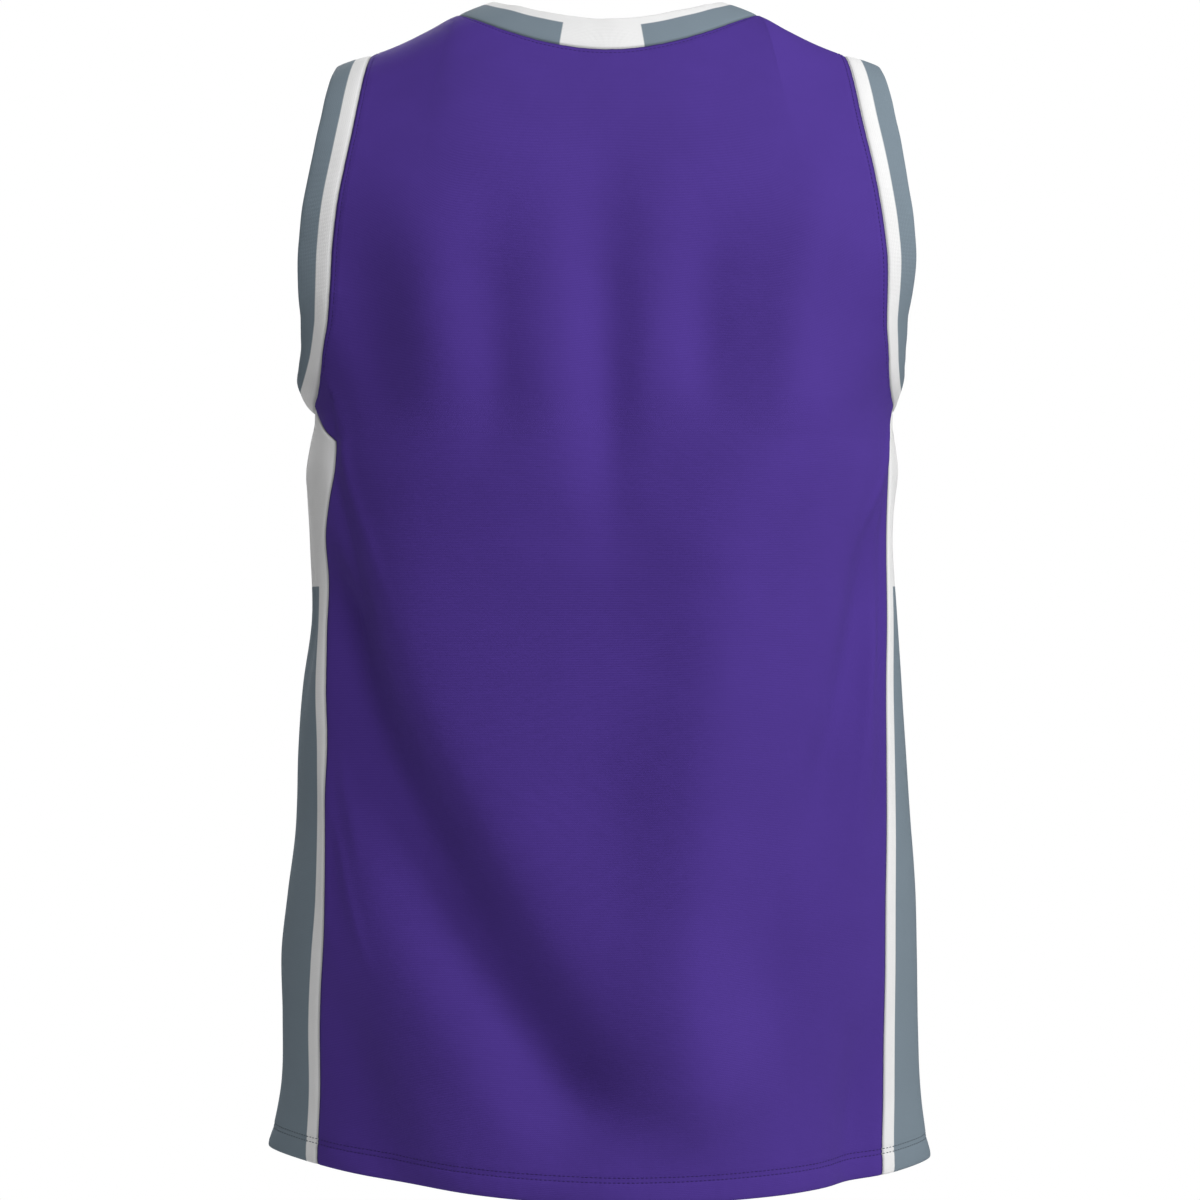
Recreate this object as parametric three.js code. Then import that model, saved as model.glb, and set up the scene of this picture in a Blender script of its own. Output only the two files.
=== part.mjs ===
// A sleeveless basketball jersey, hollow and filled out as on a wearer, built from its cut pieces:
// back, front, two side panels, a rib round the neck and a rib band round each armhole.
// Millimetres. +X is the wearer's left, -Y the front and +Z up. The origin is midway between the
// two shoulder straps, at the height of their crest, where a wearer's shoulders carry the cloth.

import * as THREE from 'three';

// Cloth and trims.
const CLOTH = 1.6;
const RIB_CLOTH = 2.2;
const HEM_CLOTH = 2.8;
const HEM_DEPTH = 16;
const HEM_STEP = 1.2;
const SEAM_GAP = 0.3;
const NECK_RIB_WIDTH = 28;
const ARM_BAND_WIDTH = 25;
const ARM_BAND_TUCK = { height: -200, reach: 75, tilt: 9 };
const UNDERARM_ROLL = { height: -215, reach: 40, tilt: 14, bulge: 4.5, rightShare: 0.3 };

// Heights of the cut, measured from the strap crest.
const HEM = -757;
const SIDE_CORNER = -279;
const UNDERARM = -254;
const SHOULDER = 0;
const HEM_TILT = 4;
const HEM_TAIL = 4;
const UNDERARM_DIP = 4;

// Neck opening, at its seam.
const NECK_HALF_WIDTH = 103;
const NECK_SIDE_HEIGHT = 12;
const NECK_BACK_HEIGHT = -24;
const NECK_BACK_CURVE = 1.9;
const NECK_FRONT_HEIGHT = -118;
const NECK_FRONT_CURVE = 3.1;

// How the upper half closes over the shoulder: 2 is an ellipse, more is squarer.
const YOKE_ROUND = 2.2;

// Angle of the tip where back, side panel and armhole band meet, from the middle of the side.
const TIP_ANGLE = 11;

// Rings round the body. left, right, back and front are the reaches from the origin, middle and side
// are the fullness of the ring in the middle and towards its two ends (2 and 2 make an ellipse), and
// seamLeft and seamRight say how far out the back panel's side seams lie.
const LEVELS = [
  { height: -757, left: 233.0, right: 220.5, back: 134, front: 132, middle: 1.85, side: 1.3, seamLeft: 192, seamRight: 182 },
  { height: -742, left: 229.5, right: 217.5, back: 132, front: 130, middle: 1.85, side: 1.32, seamLeft: 192, seamRight: 182 },
  { height: -710, left: 225.0, right: 214.0, back: 129, front: 129, middle: 1.87, side: 1.38, seamLeft: 191, seamRight: 183 },
  { height: -665, left: 225.0, right: 212.5, back: 127, front: 129, middle: 1.9, side: 1.5, seamLeft: 191, seamRight: 183 },
  { height: -620, left: 225.5, right: 211.5, back: 125, front: 129, middle: 1.95, side: 1.65, seamLeft: 188, seamRight: 183 },
  { height: -580, left: 220.0, right: 209.5, back: 124, front: 129, middle: 2.0, side: 1.8, seamLeft: 185, seamRight: 183 },
  { height: -535, left: 212.0, right: 205.5, back: 124, front: 129, middle: 2.05, side: 1.9, seamLeft: 185, seamRight: 184 },
  { height: -485, left: 210.0, right: 202.0, back: 125, front: 130, middle: 2.1, side: 2.0, seamLeft: 185, seamRight: 184 },
  { height: -440, left: 207.0, right: 199.0, back: 126, front: 131, middle: 2.15, side: 2.05, seamLeft: 188.5, seamRight: 184 },
  { height: -395, left: 201.5, right: 197.0, back: 128, front: 132, middle: 2.2, side: 2.1, seamLeft: 190, seamRight: 185 },
  { height: -345, left: 203.0, right: 194.5, back: 129, front: 133, middle: 2.25, side: 2.15, seamLeft: 187, seamRight: 185 },
  { height: -300, left: 203.5, right: 195.5, back: 130, front: 133, middle: 2.3, side: 2.2, seamLeft: 181, seamRight: 186 },
  { height: -254, left: 198.5, right: 193.0, back: 129, front: 132, middle: 2.35, side: 2.3, seamLeft: 180, seamRight: 186 },
  { height: -200, left: 217.0, right: 213.0, back: 126, front: 130, middle: 2.4, side: 2.4, seamLeft: 180, seamRight: 186 },
  { height: -145, left: 240.0, right: 239.0, back: 126, front: 128, middle: 2.4, side: 2.4, seamLeft: 180, seamRight: 186 },
  { height: -70, left: 260.0, right: 260.0, back: 126, front: 126, middle: 2.4, side: 2.4, seamLeft: 180, seamRight: 186 },
  { height: 0, left: 268.0, right: 268.0, back: 126, front: 126, middle: 2.4, side: 2.4, seamLeft: 180, seamRight: 186 },
];

// The top line of the shoulders, by distance from the middle.
const CREST = [
  { across: 0, height: 18.0 },
  { across: 60, height: 17.0 },
  { across: 85, height: 15.4 },
  { across: 103, height: 12.0 },
  { across: 120, height: 3.0 },
  { across: 140, height: -6.8 },
  { across: 160, height: -14.4 },
  { across: 175, height: -18.2 },
  { across: 195, height: -23.2 },
  { across: 280, height: -42 },
];

// The armhole seam: rise is the share of the way from underarm to shoulder, and the angles are
// measured from the middle of the side towards the back and towards the front.
const ARMHOLE = [
  { rise: 0, back: 11, front: 11 },
  { rise: 0.025, back: 18.5, front: 21 },
  { rise: 0.06, back: 24, front: 28 },
  { rise: 0.12, back: 29.8, front: 35.5 },
  { rise: 0.22, back: 36.7, front: 43.5 },
  { rise: 0.45, back: 45.6, front: 51.5 },
  { rise: 0.72, back: 52.4, front: 56.1 },
  { rise: 1, back: 55.7, front: 55.7 },
];

// Folds of the cloth. A fold runs from one bearing and height to another, in degrees round the body
// (0 the wearer's left, 90 the back, 180 the right, 270 the front) and millimetres. bow bends the
// line sideways, lift is a ridge if positive and a trough if negative, and startEase and endEase
// are the shares of its length over which it fades in and out.
const FOLDS = [
  // The wearer's left underarm to the middle of the back hem.
  { from: [22, -338], to: [93, -740], bow: 4, width: 26, lift: -17.5, startEase: 0.17, endEase: 0.14 },
  { from: [39, -322], to: [121, -721], bow: 25, width: 40, lift: 6.0, startEase: 0.19, endEase: 0.23 },
  { from: [27, -419], to: [87, -748], bow: 12, width: 16, lift: -1.5, startEase: 0.28, endEase: 0.05 },
  { from: [36, -620], to: [62, -787], bow: 26, width: 26, lift: -6.5, startEase: 0.35, endEase: 0.05 },
  // The wearer's right of the back, from the underarm down and in.
  { from: [143, -202], to: [102, -441], bow: 19, width: 37, lift: 13.0, startEase: 0.36, endEase: 0.36 },
  { from: [152, -299], to: [123, -571], bow: -9, width: 17, lift: -7.8, startEase: 0.33, endEase: 0.37 },
  { from: [115, -361], to: [107, -750], bow: 18, width: 34, lift: 13.5, startEase: 0.25, endEase: 0.16 },
  { from: [122, -540], to: [117, -691], bow: 2, width: 28, lift: -4.4, startEase: 0.5, endEase: 0.41 },
  { from: [146, -621], to: [140, -826], bow: -9, width: 22, lift: -8.1, startEase: 0.5, endEase: 0.05 },
  { from: [135, -693], to: [120, -788], bow: 2, width: 20, lift: 1.5, startEase: 0.4, endEase: 0.05 },
  // Soft upright hollows between the shoulder blades.
  { from: [75, -91], to: [68, -316], bow: 3, width: 18, lift: -6.3, startEase: 0.53, endEase: 0.36 },
  { from: [90, -41], to: [91, -382], bow: 3, width: 17, lift: -8.2, startEase: 0.5, endEase: 0.43 },
  { from: [107, -114], to: [112, -288], bow: 10, width: 15, lift: -5.0, startEase: 0.45, endEase: 0.44 },
  { from: [55, -105], to: [43, -300], bow: 6, width: 28, lift: -9.5, startEase: 0.4, endEase: 0.45 },
  { from: [56, -60], to: [56, -271], bow: -14, width: 15, lift: 1.5, startEase: 0.47, endEase: 0.45 },
  { from: [127, -47], to: [127, -293], bow: 15, width: 21, lift: 9.7, startEase: 0.46, endEase: 0.35 },
  // The sides, under the arms and down to the hem.
  { from: [8, -300], to: [14, -480], bow: 4, width: 18, lift: -4.0, startEase: 0.35, endEase: 0.4 },
  { from: [2, -520], to: [-8, -775], bow: -6, width: 22, lift: -5.0, startEase: 0.35, endEase: 0.05 },
  { from: [172, -290], to: [182, -440], bow: 4, width: 18, lift: -3.5, startEase: 0.35, endEase: 0.4 },
  { from: [184, -540], to: [190, -775], bow: 6, width: 22, lift: -4.5, startEase: 0.35, endEase: 0.05 },
  // The front, drawn from both underarms and open at the hem.
  { from: [-28, -290], to: [-84, -640], bow: -18, width: 25, lift: -11.0, startEase: 0.25, endEase: 0.3 },
  { from: [-40, -330], to: [-96, -660], bow: -20, width: 34, lift: 6.0, startEase: 0.3, endEase: 0.3 },
  { from: [-30, -460], to: [-62, -775], bow: -12, width: 23, lift: 6.0, startEase: 0.3, endEase: 0.05 },
  { from: [-36, -600], to: [-60, -790], bow: -6, width: 18, lift: -5.5, startEase: 0.35, endEase: 0.05 },
  { from: [210, -300], to: [258, -600], bow: 16, width: 23, lift: -9.0, startEase: 0.25, endEase: 0.35 },
  { from: [216, -330], to: [262, -520], bow: 10, width: 30, lift: 5.0, startEase: 0.3, endEase: 0.35 },
  { from: [206, -470], to: [236, -775], bow: 10, width: 24, lift: 6.0, startEase: 0.35, endEase: 0.05 },
  { from: [214, -590], to: [232, -790], bow: 4, width: 20, lift: -5.0, startEase: 0.4, endEase: 0.05 },
  { from: [-80, -560], to: [-84, -785], bow: -6, width: 24, lift: -7.5, startEase: 0.45, endEase: 0.05 },
  { from: [256, -500], to: [262, -780], bow: 8, width: 22, lift: -6.5, startEase: 0.45, endEase: 0.05 },
  { from: [284, -190], to: [281, -400], bow: 0, width: 18, lift: -4.5, startEase: 0.4, endEase: 0.5 },
  { from: [254, -170], to: [258, -370], bow: 0, width: 17, lift: -4.0, startEase: 0.4, endEase: 0.5 },
  { from: [236, -150], to: [229, -300], bow: -4, width: 20, lift: 3.5, startEase: 0.45, endEase: 0.45 },
  { from: [-58, -140], to: [-50, -300], bow: 4, width: 20, lift: 3.5, startEase: 0.45, endEase: 0.45 },
];
const GIRTH_PER_DEGREE = 3;

// Mesh fineness: steps along each stretch of a panel.
const BODY_STEPS = 18;
const GUSSET_STEPS = 2;
const YOKE_STEPS = 16;
const YOKE_CROWDING = 1.6;
const STRAP_STEPS = 3;
const NECK_STEPS = 22;
const SIDE_STEPS = 7;

const DEGREE = Math.PI / 180;
const mix = (a, b, share) => a + (b - a) * share;
const clamp = (value, low, high) => Math.min(high, Math.max(low, value));
const easeIn = (share) => share * share * (3 - 2 * share);

// A table's column at a key, along a smooth curve through its rows.
function tableAt(rows, key, at, column) {
  const last = rows.length - 1;
  let i = 0;
  while (i < last - 1 && at > rows[i + 1][key]) i += 1;
  const before = rows[Math.max(i - 1, 0)];
  const after = rows[Math.min(i + 2, last)];
  const [low, high] = [rows[i], rows[i + 1]];
  const span = high[key] - low[key];
  const share = clamp((at - low[key]) / span, 0, 1);
  const slopeLow = (high[column] - before[column]) / (high[key] - before[key]);
  const slopeHigh = (after[column] - low[column]) / (after[key] - low[key]);
  const s2 = share * share;
  const s3 = s2 * share;
  return (2 * s3 - 3 * s2 + 1) * low[column] + (s3 - 2 * s2 + share) * span * slopeLow
    + (3 * s2 - 2 * s3) * high[column] + (s3 - s2) * span * slopeHigh;
}

// climb runs from 0 at the hem to 1 at the underarm and 2 at the shoulder crest.
function riseOf(climb) {
  if (climb <= 1) return 0;
  return Math.sin((climb - 1) * 90 * DEGREE) ** (2 / YOKE_ROUND);
}

function heightOf(climb) {
  if (climb <= 1) return mix(HEM, UNDERARM, climb);
  return mix(UNDERARM, SHOULDER, riseOf(climb));
}

function climbOf(height) {
  return (height - HEM) / (UNDERARM - HEM);
}

// How far out a ring lies in a direction, where |x| ** middle + |y| ** side is 1 on the ring.
function ringReach(c, s, middle, side) {
  let reach = 1;
  for (let i = 0; i < 8; i += 1) {
    const x = (Math.abs(c) * reach) ** middle;
    const y = (Math.abs(s) * reach) ** side;
    reach -= ((x + y - 1) * reach) / (middle * x + side * y);
  }
  return reach;
}

// The angle at which a ring lies a share of its half width out.
function ringAngle(share, middle, side) {
  return Math.atan2((1 - Math.abs(share) ** middle) ** (1 / side), share) / DEGREE;
}

// The smooth form that the cloth takes before its folds.
function formPoint(bearing, climb) {
  const height = heightOf(climb);
  const level = (column) => tableAt(LEVELS, 'height', height, column);
  const c = Math.cos(bearing * DEGREE);
  const s = Math.sin(bearing * DEGREE);
  const reach = ringReach(c, s, level('middle'), level('side'));
  const x = c * reach * level(c > 0 ? 'left' : 'right');
  const closing = climb <= 1 ? 1 : Math.cos((climb - 1) * 90 * DEGREE);
  const y = s * reach * level(s > 0 ? 'back' : 'front') * closing;
  if (climb > 1) {
    const crest = tableAt(CREST, 'across', Math.abs(x), 'height');
    return new THREE.Vector3(x, y, mix(UNDERARM, crest, riseOf(climb)));
  }
  const drop = HEM_TILT * c - HEM_TAIL * Math.max(s, 0) ** 2;
  return new THREE.Vector3(x, y, height + drop * (1 - climb) ** 3);
}

// How far one fold moves the cloth out of the form.
function foldLift(fold, bearing, height) {
  const along = (fold.to[0] - fold.from[0]) * GIRTH_PER_DEGREE;
  const down = fold.to[1] - fold.from[1];
  const length = Math.hypot(along, down);
  const turn = ((bearing - fold.from[0] + 540) % 360) - 180;
  const u = turn * GIRTH_PER_DEGREE;
  const w = height - fold.from[1];
  const share = (u * along + w * down) / (length * length);
  if (share <= 0 || share >= 1) return 0;
  const aside = (u * down - w * along) / length - fold.bow * 4 * share * (1 - share);
  const fade = easeIn(clamp(share / fold.startEase, 0, 1)) * easeIn(clamp((1 - share) / fold.endEase, 0, 1));
  return fold.lift * fade * Math.exp(-((aside / fold.width) ** 2));
}

const DELTA = 0.002;

function normalOf(surface, bearing, climb) {
  const high = Math.min(climb + DELTA, 2);
  const low = Math.max(climb - DELTA, 0);
  const up = surface(bearing, high).sub(surface(bearing, low));
  const round = surface(bearing + 0.2, climb).sub(surface(bearing - 0.2, climb));
  return round.cross(up).normalize();
}

function clothPoint(bearing, climb) {
  const height = heightOf(climb);
  const lift = FOLDS.reduce((sum, fold) => sum + foldLift(fold, bearing, height), 0);
  return formPoint(bearing, climb).addScaledVector(normalOf(formPoint, bearing, climb), lift);
}

const clothNormal = (bearing, climb) => normalOf(clothPoint, bearing, climb);

// Where a side seam lies at a height, as an angle from the middle of the side. The shirt sits a
// little turned, so the front seams mirror the back seams of the other side.
function seamAngle(side, face, height) {
  const turned = (side === 'left') === (face === 'back') ? ['left', 'seamLeft'] : ['right', 'seamRight'];
  const [reach, seam, middle, end] = [...turned, 'middle', 'side'].map((c) => tableAt(LEVELS, 'height', height, c));
  return ringAngle(seam / reach, middle, end);
}

// The edge of the front or back panel, from the hem up the side seam, past the gusset's slanting
// cut to the armhole, and up the armhole to the shoulder.
function edgeAngle(side, face, climb) {
  const height = heightOf(climb);
  if (height <= SIDE_CORNER) return seamAngle(side, face, height);
  if (climb <= 1) {
    const share = (height - SIDE_CORNER) / (UNDERARM - SIDE_CORNER);
    return mix(seamAngle(side, face, SIDE_CORNER), TIP_ANGLE, share);
  }
  return tableAt(ARMHOLE, 'rise', riseOf(climb), face);
}

function bearingOf(side, face, angle) {
  const back = side === 'left' ? angle : 180 - angle;
  return face === 'back' ? back : -back;
}

// Rows shared by every panel: the turned-up hem, the body, the gusset and the yoke.
function climbRows() {
  const rows = [0, climbOf(HEM + HEM_DEPTH)];
  const bodyStart = climbOf(HEM + HEM_DEPTH + HEM_STEP);
  const corner = climbOf(SIDE_CORNER);
  for (let i = 0; i < BODY_STEPS; i += 1) rows.push(mix(bodyStart, corner, i / BODY_STEPS));
  for (let i = 0; i < GUSSET_STEPS; i += 1) rows.push(mix(corner, 1, i / GUSSET_STEPS));
  for (let i = 0; i <= YOKE_STEPS; i += 1) rows.push(1 + (i / YOKE_STEPS) ** YOKE_CROWDING);
  return rows;
}
const ROWS = climbRows();
const TIP_ROW = ROWS.indexOf(1);

// The neckline's height at a distance from the middle.
function neckHeight(face, across) {
  const u = Math.min(across / NECK_HALF_WIDTH, 1);
  if (face === 'back') return mix(NECK_BACK_HEIGHT, NECK_SIDE_HEIGHT, u ** NECK_BACK_CURVE);
  return mix(NECK_FRONT_HEIGHT, NECK_SIDE_HEIGHT, u ** NECK_FRONT_CURVE);
}

// Columns of the front and back panels. At the top they are spread evenly along the shoulder seams
// and the neckline, and lower down evenly across the panel. A share runs from the wearer's left.
function topShare(across) {
  const { left: reach, middle, side } = LEVELS[LEVELS.length - 1];
  const angle = ringAngle(across / reach, middle, side);
  const strap = ARMHOLE[ARMHOLE.length - 1].back;
  return (angle - strap) / (180 - 2 * strap);
}
const NECK_SHARE = topShare(NECK_HALF_WIDTH);

function panelBearing(face, share, climb) {
  const left = bearingOf('left', face, edgeAngle('left', face, climb));
  const right = bearingOf('right', face, edgeAngle('right', face, climb));
  return mix(left, right, share);
}

// The climb at which a share of the way across meets the neckline.
function neckClimb(face, share) {
  let [low, high] = [1, 2];
  for (let i = 0; i < 30; i += 1) {
    const middle = (low + high) / 2;
    const point = formPoint(panelBearing(face, share, middle), middle);
    if (point.z < neckHeight(face, Math.abs(point.x))) low = middle;
    else high = middle;
  }
  return low;
}

function topColumns(face) {
  const samples = 240;
  const line = Array.from({ length: samples + 1 }, (_, i) => {
    const share = topShare(NECK_HALF_WIDTH * Math.cos((180 * DEGREE * i) / samples));
    const climb = i === 0 || i === samples ? 2 : neckClimb(face, share);
    return { share, climb, point: formPoint(panelBearing(face, share, climb), climb) };
  });
  const run = [0];
  line.slice(1).forEach((end, i) => run.push(run[i] + end.point.distanceTo(line[i].point)));
  const strap = (i) => ({ share: (NECK_SHARE * i) / STRAP_STEPS, climb: 2 });
  const columns = Array.from({ length: STRAP_STEPS }, (_, i) => strap(i));
  for (let i = 0; i <= NECK_STEPS; i += 1) {
    const goal = (run[samples] * i) / NECK_STEPS;
    const k = clamp(run.findIndex((length) => length >= goal), 1, samples);
    const part = clamp((goal - run[k - 1]) / (run[k] - run[k - 1]), 0, 1);
    const share = mix(line[k - 1].share, line[k].share, part);
    columns.push({ share, climb: i === 0 || i === NECK_STEPS ? 2 : neckClimb(face, share) });
  }
  for (let i = STRAP_STEPS - 1; i >= 0; i -= 1) columns.push({ share: 1 - strap(i).share, climb: 2 });
  return columns;
}
const TOP_COLUMNS = { back: topColumns('back'), front: topColumns('front') };
const COLUMN_COUNT = NECK_STEPS + 2 * STRAP_STEPS;

function panelStation(face, column, climb) {
  const even = column / COLUMN_COUNT;
  if (climb <= 1) return { bearing: panelBearing(face, even, climb), climb };
  const top = TOP_COLUMNS[face][column];
  const own = 1 + (climb - 1) * (top.climb - 1);
  const share = mix(even, top.share, easeIn(climb - 1));
  return { bearing: panelBearing(face, share, own), climb: own };
}

function sideStation(side, share, climb) {
  const angle = mix(edgeAngle(side, 'back', climb), -edgeAngle(side, 'front', climb), share);
  const dip = (UNDERARM_DIP / (UNDERARM - HEM)) * Math.sin(180 * DEGREE * share);
  const own = climb === 1 ? 1 - dip : climb;
  return { bearing: side === 'left' ? angle : 180 - angle, climb: own };
}

const pointAt = (station) => clothPoint(station.bearing, station.climb);
const normalAt = (station) => clothNormal(station.bearing, station.climb);

// The way off a line at one of its points, in the cloth, long enough to clear both of its stretches.
function seamOffset(before, point, after, normal, towards) {
  const sides = [[before, point], [point, after]].filter(([a, b]) => a.distanceTo(b) > 1e-6);
  const ways = sides.map(([a, b]) => b.clone().sub(a).normalize().cross(normal).normalize());
  const way = ways.reduce((sum, one) => sum.add(one), new THREE.Vector3());
  const scale = ways.length === 2 ? 1 / Math.max(1 + ways[0].clone().dot(ways[1]), 0.5) : 1;
  way.multiplyScalar(scale);
  return way.dot(towards) < 0 ? way.negate() : way;
}

// Moves the points along one side of a grid inward, so that a seam keeps its gap.
function insetSide(grid, normals, line, towardsOf, shift) {
  line.forEach(([r, c], i) => {
    const [r0, c0] = line[Math.max(i - 1, 0)];
    const [r1, c1] = line[Math.min(i + 1, line.length - 1)];
    const towards = towardsOf(r, c);
    const way = seamOffset(grid[r0][c0], grid[r][c], grid[r1][c1], normals[r][c], towards);
    shift[r][c].addScaledVector(way, SEAM_GAP / 2);
  });
}

// A four-sided face as two triangles, split along its shorter diagonal.
function splitQuad(vertices, [a, b, c, d]) {
  if (vertices[a].distanceTo(vertices[c]) <= vertices[b].distanceTo(vertices[d])) return [a, b, c, a, c, d];
  return [a, b, d, b, c, d];
}

// A face along a seam, split so that it falls back from the seam. facing is 1 where the corners
// run round its outer side and -1 where they run round its inner side.
function splitSeam(vertices, [a, b, c, d], facing) {
  const [p, q, r, s] = [a, b, c, d].map((i) => vertices[i]);
  const rise = q.clone().sub(p).cross(r.clone().sub(p)).dot(s.clone().sub(p));
  return rise * facing >= 0 ? [a, b, c, a, c, d] : [a, b, d, b, c, d];
}

function facingOf(vertices, [a, b, c], normal) {
  const [p, q, r] = [a, b, c].map((i) => vertices[i]);
  return Math.sign(q.clone().sub(p).cross(r.clone().sub(p)).dot(normal));
}

// A closed wall from a grid of stations: the outer skin, the inner skin behind it, and the rims.
function wall(stations, thicknessOf) {
  const grid = stations.map((row) => row.map(pointAt));
  const normals = stations.map((row) => row.map(normalAt));
  const shift = grid.map((row) => row.map(() => new THREE.Vector3()));
  const lastRow = grid.length - 1;
  const lastColumn = grid[0].length - 1;
  const down = grid.map((_, r) => [r, 0]);
  const across = grid[0].map((_, c) => [lastRow, c]);
  const from = (a, b) => b.clone().sub(a);
  insetSide(grid, normals, down, (r) => from(grid[r][0], grid[r][1]), shift);
  const farSide = down.map(([r]) => [r, lastColumn]);
  insetSide(grid, normals, farSide, (r) => from(grid[r][lastColumn], grid[r][lastColumn - 1]), shift);
  const middle = grid[lastRow][0].clone().add(grid[lastRow][lastColumn]).divideScalar(2);
  middle.z = grid[lastRow][Math.round(lastColumn / 2)].z + 60;
  const outward = (r, c) => from(middle, grid[r][c]).normalize().add(from(grid[r][c], grid[r - 1][c]).normalize());
  insetSide(grid, normals, across, outward, shift);
  grid.forEach((row, r) => row.forEach((point, c) => point.add(shift[r][c])));
  const width = lastColumn + 1;
  const count = grid.length * width;
  const inner = grid.map((row, r) => row.map((p, c) => p.clone().addScaledVector(normals[r][c], -thicknessOf(r))));
  const vertices = [...grid.flat(), ...inner.flat()];
  const faces = [];
  const quad = (...corners) => faces.push(...splitQuad(vertices, corners));
  const at = (r, c) => r * width + c;
  for (let r = 0; r < lastRow; r += 1) {
    for (let c = 0; c < lastColumn; c += 1) {
      quad(at(r, c), at(r, c + 1), at(r + 1, c + 1), at(r + 1, c));
      quad(count + at(r, c), count + at(r + 1, c), count + at(r + 1, c + 1), count + at(r, c + 1));
    }
  }
  const rim = [
    ...Array.from({ length: lastColumn }, (_, c) => at(0, c)),
    ...Array.from({ length: lastRow }, (_, r) => at(r, lastColumn)),
    ...Array.from({ length: lastColumn }, (_, c) => at(lastRow, lastColumn - c)),
    ...Array.from({ length: lastRow }, (_, r) => at(lastRow - r, 0)),
  ];
  const facing = facingOf(vertices, [at(0, 0), at(0, 1), at(1, 1)], normals[0][0]);
  rim.forEach((a, i) => {
    const b = rim[(i + 1) % rim.length];
    faces.push(...splitSeam(vertices, [a, count + a, count + b, b], facing));
  });
  return solid(vertices, faces);
}

// A closed ring of rib cloth: a strip sewn along a loop of seam stations and standing off it.
function trim(stations, width, leanOf) {
  const points = stations.map(pointAt);
  const normals = stations.map(normalAt);
  const middle = points.reduce((sum, p) => sum.add(p), new THREE.Vector3()).divideScalar(points.length);
  const size = 6;
  const vertices = [];
  points.forEach((point, i) => {
    const before = points[(i + points.length - 1) % points.length];
    const after = points[(i + 1) % points.length];
    const normal = normals[i];
    const away = seamOffset(before, point, after, normal, middle.clone().sub(point));
    const lean = leanOf(point);
    const across = (share, lift) => point.clone()
      .addScaledVector(away, SEAM_GAP / 2 + width * share * Math.cos(lean.tilt))
      .addScaledVector(normal, lift + width * share * Math.sin(lean.tilt) + lean.bulge * 4 * share * (1 - share));
    const out = (RIB_CLOTH - CLOTH) / 2;
    [0, 0.45, 1].forEach((share) => vertices.push(across(share, out)));
    [1, 0.45, 0].forEach((share) => vertices.push(across(share, out - RIB_CLOTH)));
  });
  const faces = [];
  const facing = facingOf(vertices, [0, size, size + 1], normals[0]);
  for (let i = 0; i < points.length; i += 1) {
    const next = ((i + 1) % points.length) * size;
    for (let k = 0; k < size; k += 1) {
      const corners = [i * size + k, next + k, next + ((k + 1) % size), i * size + ((k + 1) % size)];
      faces.push(...(k === size - 1 ? splitSeam(vertices, corners, facing) : splitQuad(vertices, corners)));
    }
  }
  return solid(vertices, faces);
}

// A closed mesh with its faces turned outwards.
function solid(vertices, faces) {
  const volume = faces.reduce((sum, _, i) => {
    if (i % 3) return sum;
    const [a, b, c] = [vertices[faces[i]], vertices[faces[i + 1]], vertices[faces[i + 2]]];
    return sum + a.dot(b.clone().cross(c));
  }, 0);
  const geometry = new THREE.BufferGeometry().setFromPoints(vertices);
  geometry.setIndex(volume > 0 ? faces : faces.toReversed());
  geometry.computeVertexNormals();
  return geometry;
}

const hemThickness = (r) => (r < 2 ? HEM_CLOTH : CLOTH);

function panel(face) {
  const columns = Array.from({ length: COLUMN_COUNT + 1 }, (_, i) => i);
  return wall(ROWS.map((climb) => columns.map((column) => panelStation(face, column, climb))), hemThickness);
}

function sidePanel(side) {
  const shares = Array.from({ length: SIDE_STEPS + 1 }, (_, i) => i / SIDE_STEPS);
  const rows = ROWS.slice(0, TIP_ROW + 1);
  return wall(rows.map((climb) => shares.map((share) => sideStation(side, share, climb))), hemThickness);
}

function neckRib() {
  const open = Array.from({ length: NECK_STEPS + 1 }, (_, i) => STRAP_STEPS + i);
  const back = open.map((column) => panelStation('back', column, 2));
  const front = open.map((column) => panelStation('front', column, 2)).reverse().slice(1, -1);
  const lean = (point) => {
    const level = point.y > 0 ? NECK_BACK_HEIGHT : NECK_FRONT_HEIGHT;
    const up = clamp((point.z - level) / (NECK_SIDE_HEIGHT - level), 0, 1);
    return { tilt: mix(point.y > 0 ? 5 : 4, 3.5, up) * DEGREE, bulge: 0.6 };
  };
  return trim([...back, ...front], NECK_RIB_WIDTH, lean);
}

function armBand(side) {
  const column = side === 'left' ? 0 : COLUMN_COUNT;
  const yoke = ROWS.slice(TIP_ROW);
  const back = yoke.map((climb) => panelStation('back', column, climb));
  const front = yoke.map((climb) => panelStation('front', column, climb)).reverse().slice(1);
  const under = Array.from({ length: SIDE_STEPS - 1 }, (_, i) => sideStation(side, 1 - (i + 1) / SIDE_STEPS, 1));
  const lean = (point) => {
    const low = Math.max(1 - Math.abs(point.z - ARM_BAND_TUCK.height) / ARM_BAND_TUCK.reach, 0);
    const roll = easeIn(clamp((UNDERARM_ROLL.height - point.z) / UNDERARM_ROLL.reach, 0, 1));
    const under = roll * (side === 'left' ? 1 : UNDERARM_ROLL.rightShare);
    const tilt = UNDERARM_ROLL.tilt * under - ARM_BAND_TUCK.tilt * easeIn(low);
    return { tilt: tilt * DEGREE, bulge: 0.8 + UNDERARM_ROLL.bulge * under };
  };
  return trim([...back, ...front, ...under], ARM_BAND_WIDTH, lean);
}

const purple = new THREE.MeshStandardMaterial({ color: 0x4f3a8c, roughness: 0.75, metalness: 0 });
const white = new THREE.MeshStandardMaterial({ color: 0xf2f2f2, roughness: 0.8, metalness: 0 });
const slate = new THREE.MeshStandardMaterial({ color: 0x71808a, roughness: 0.8, metalness: 0 });

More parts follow.
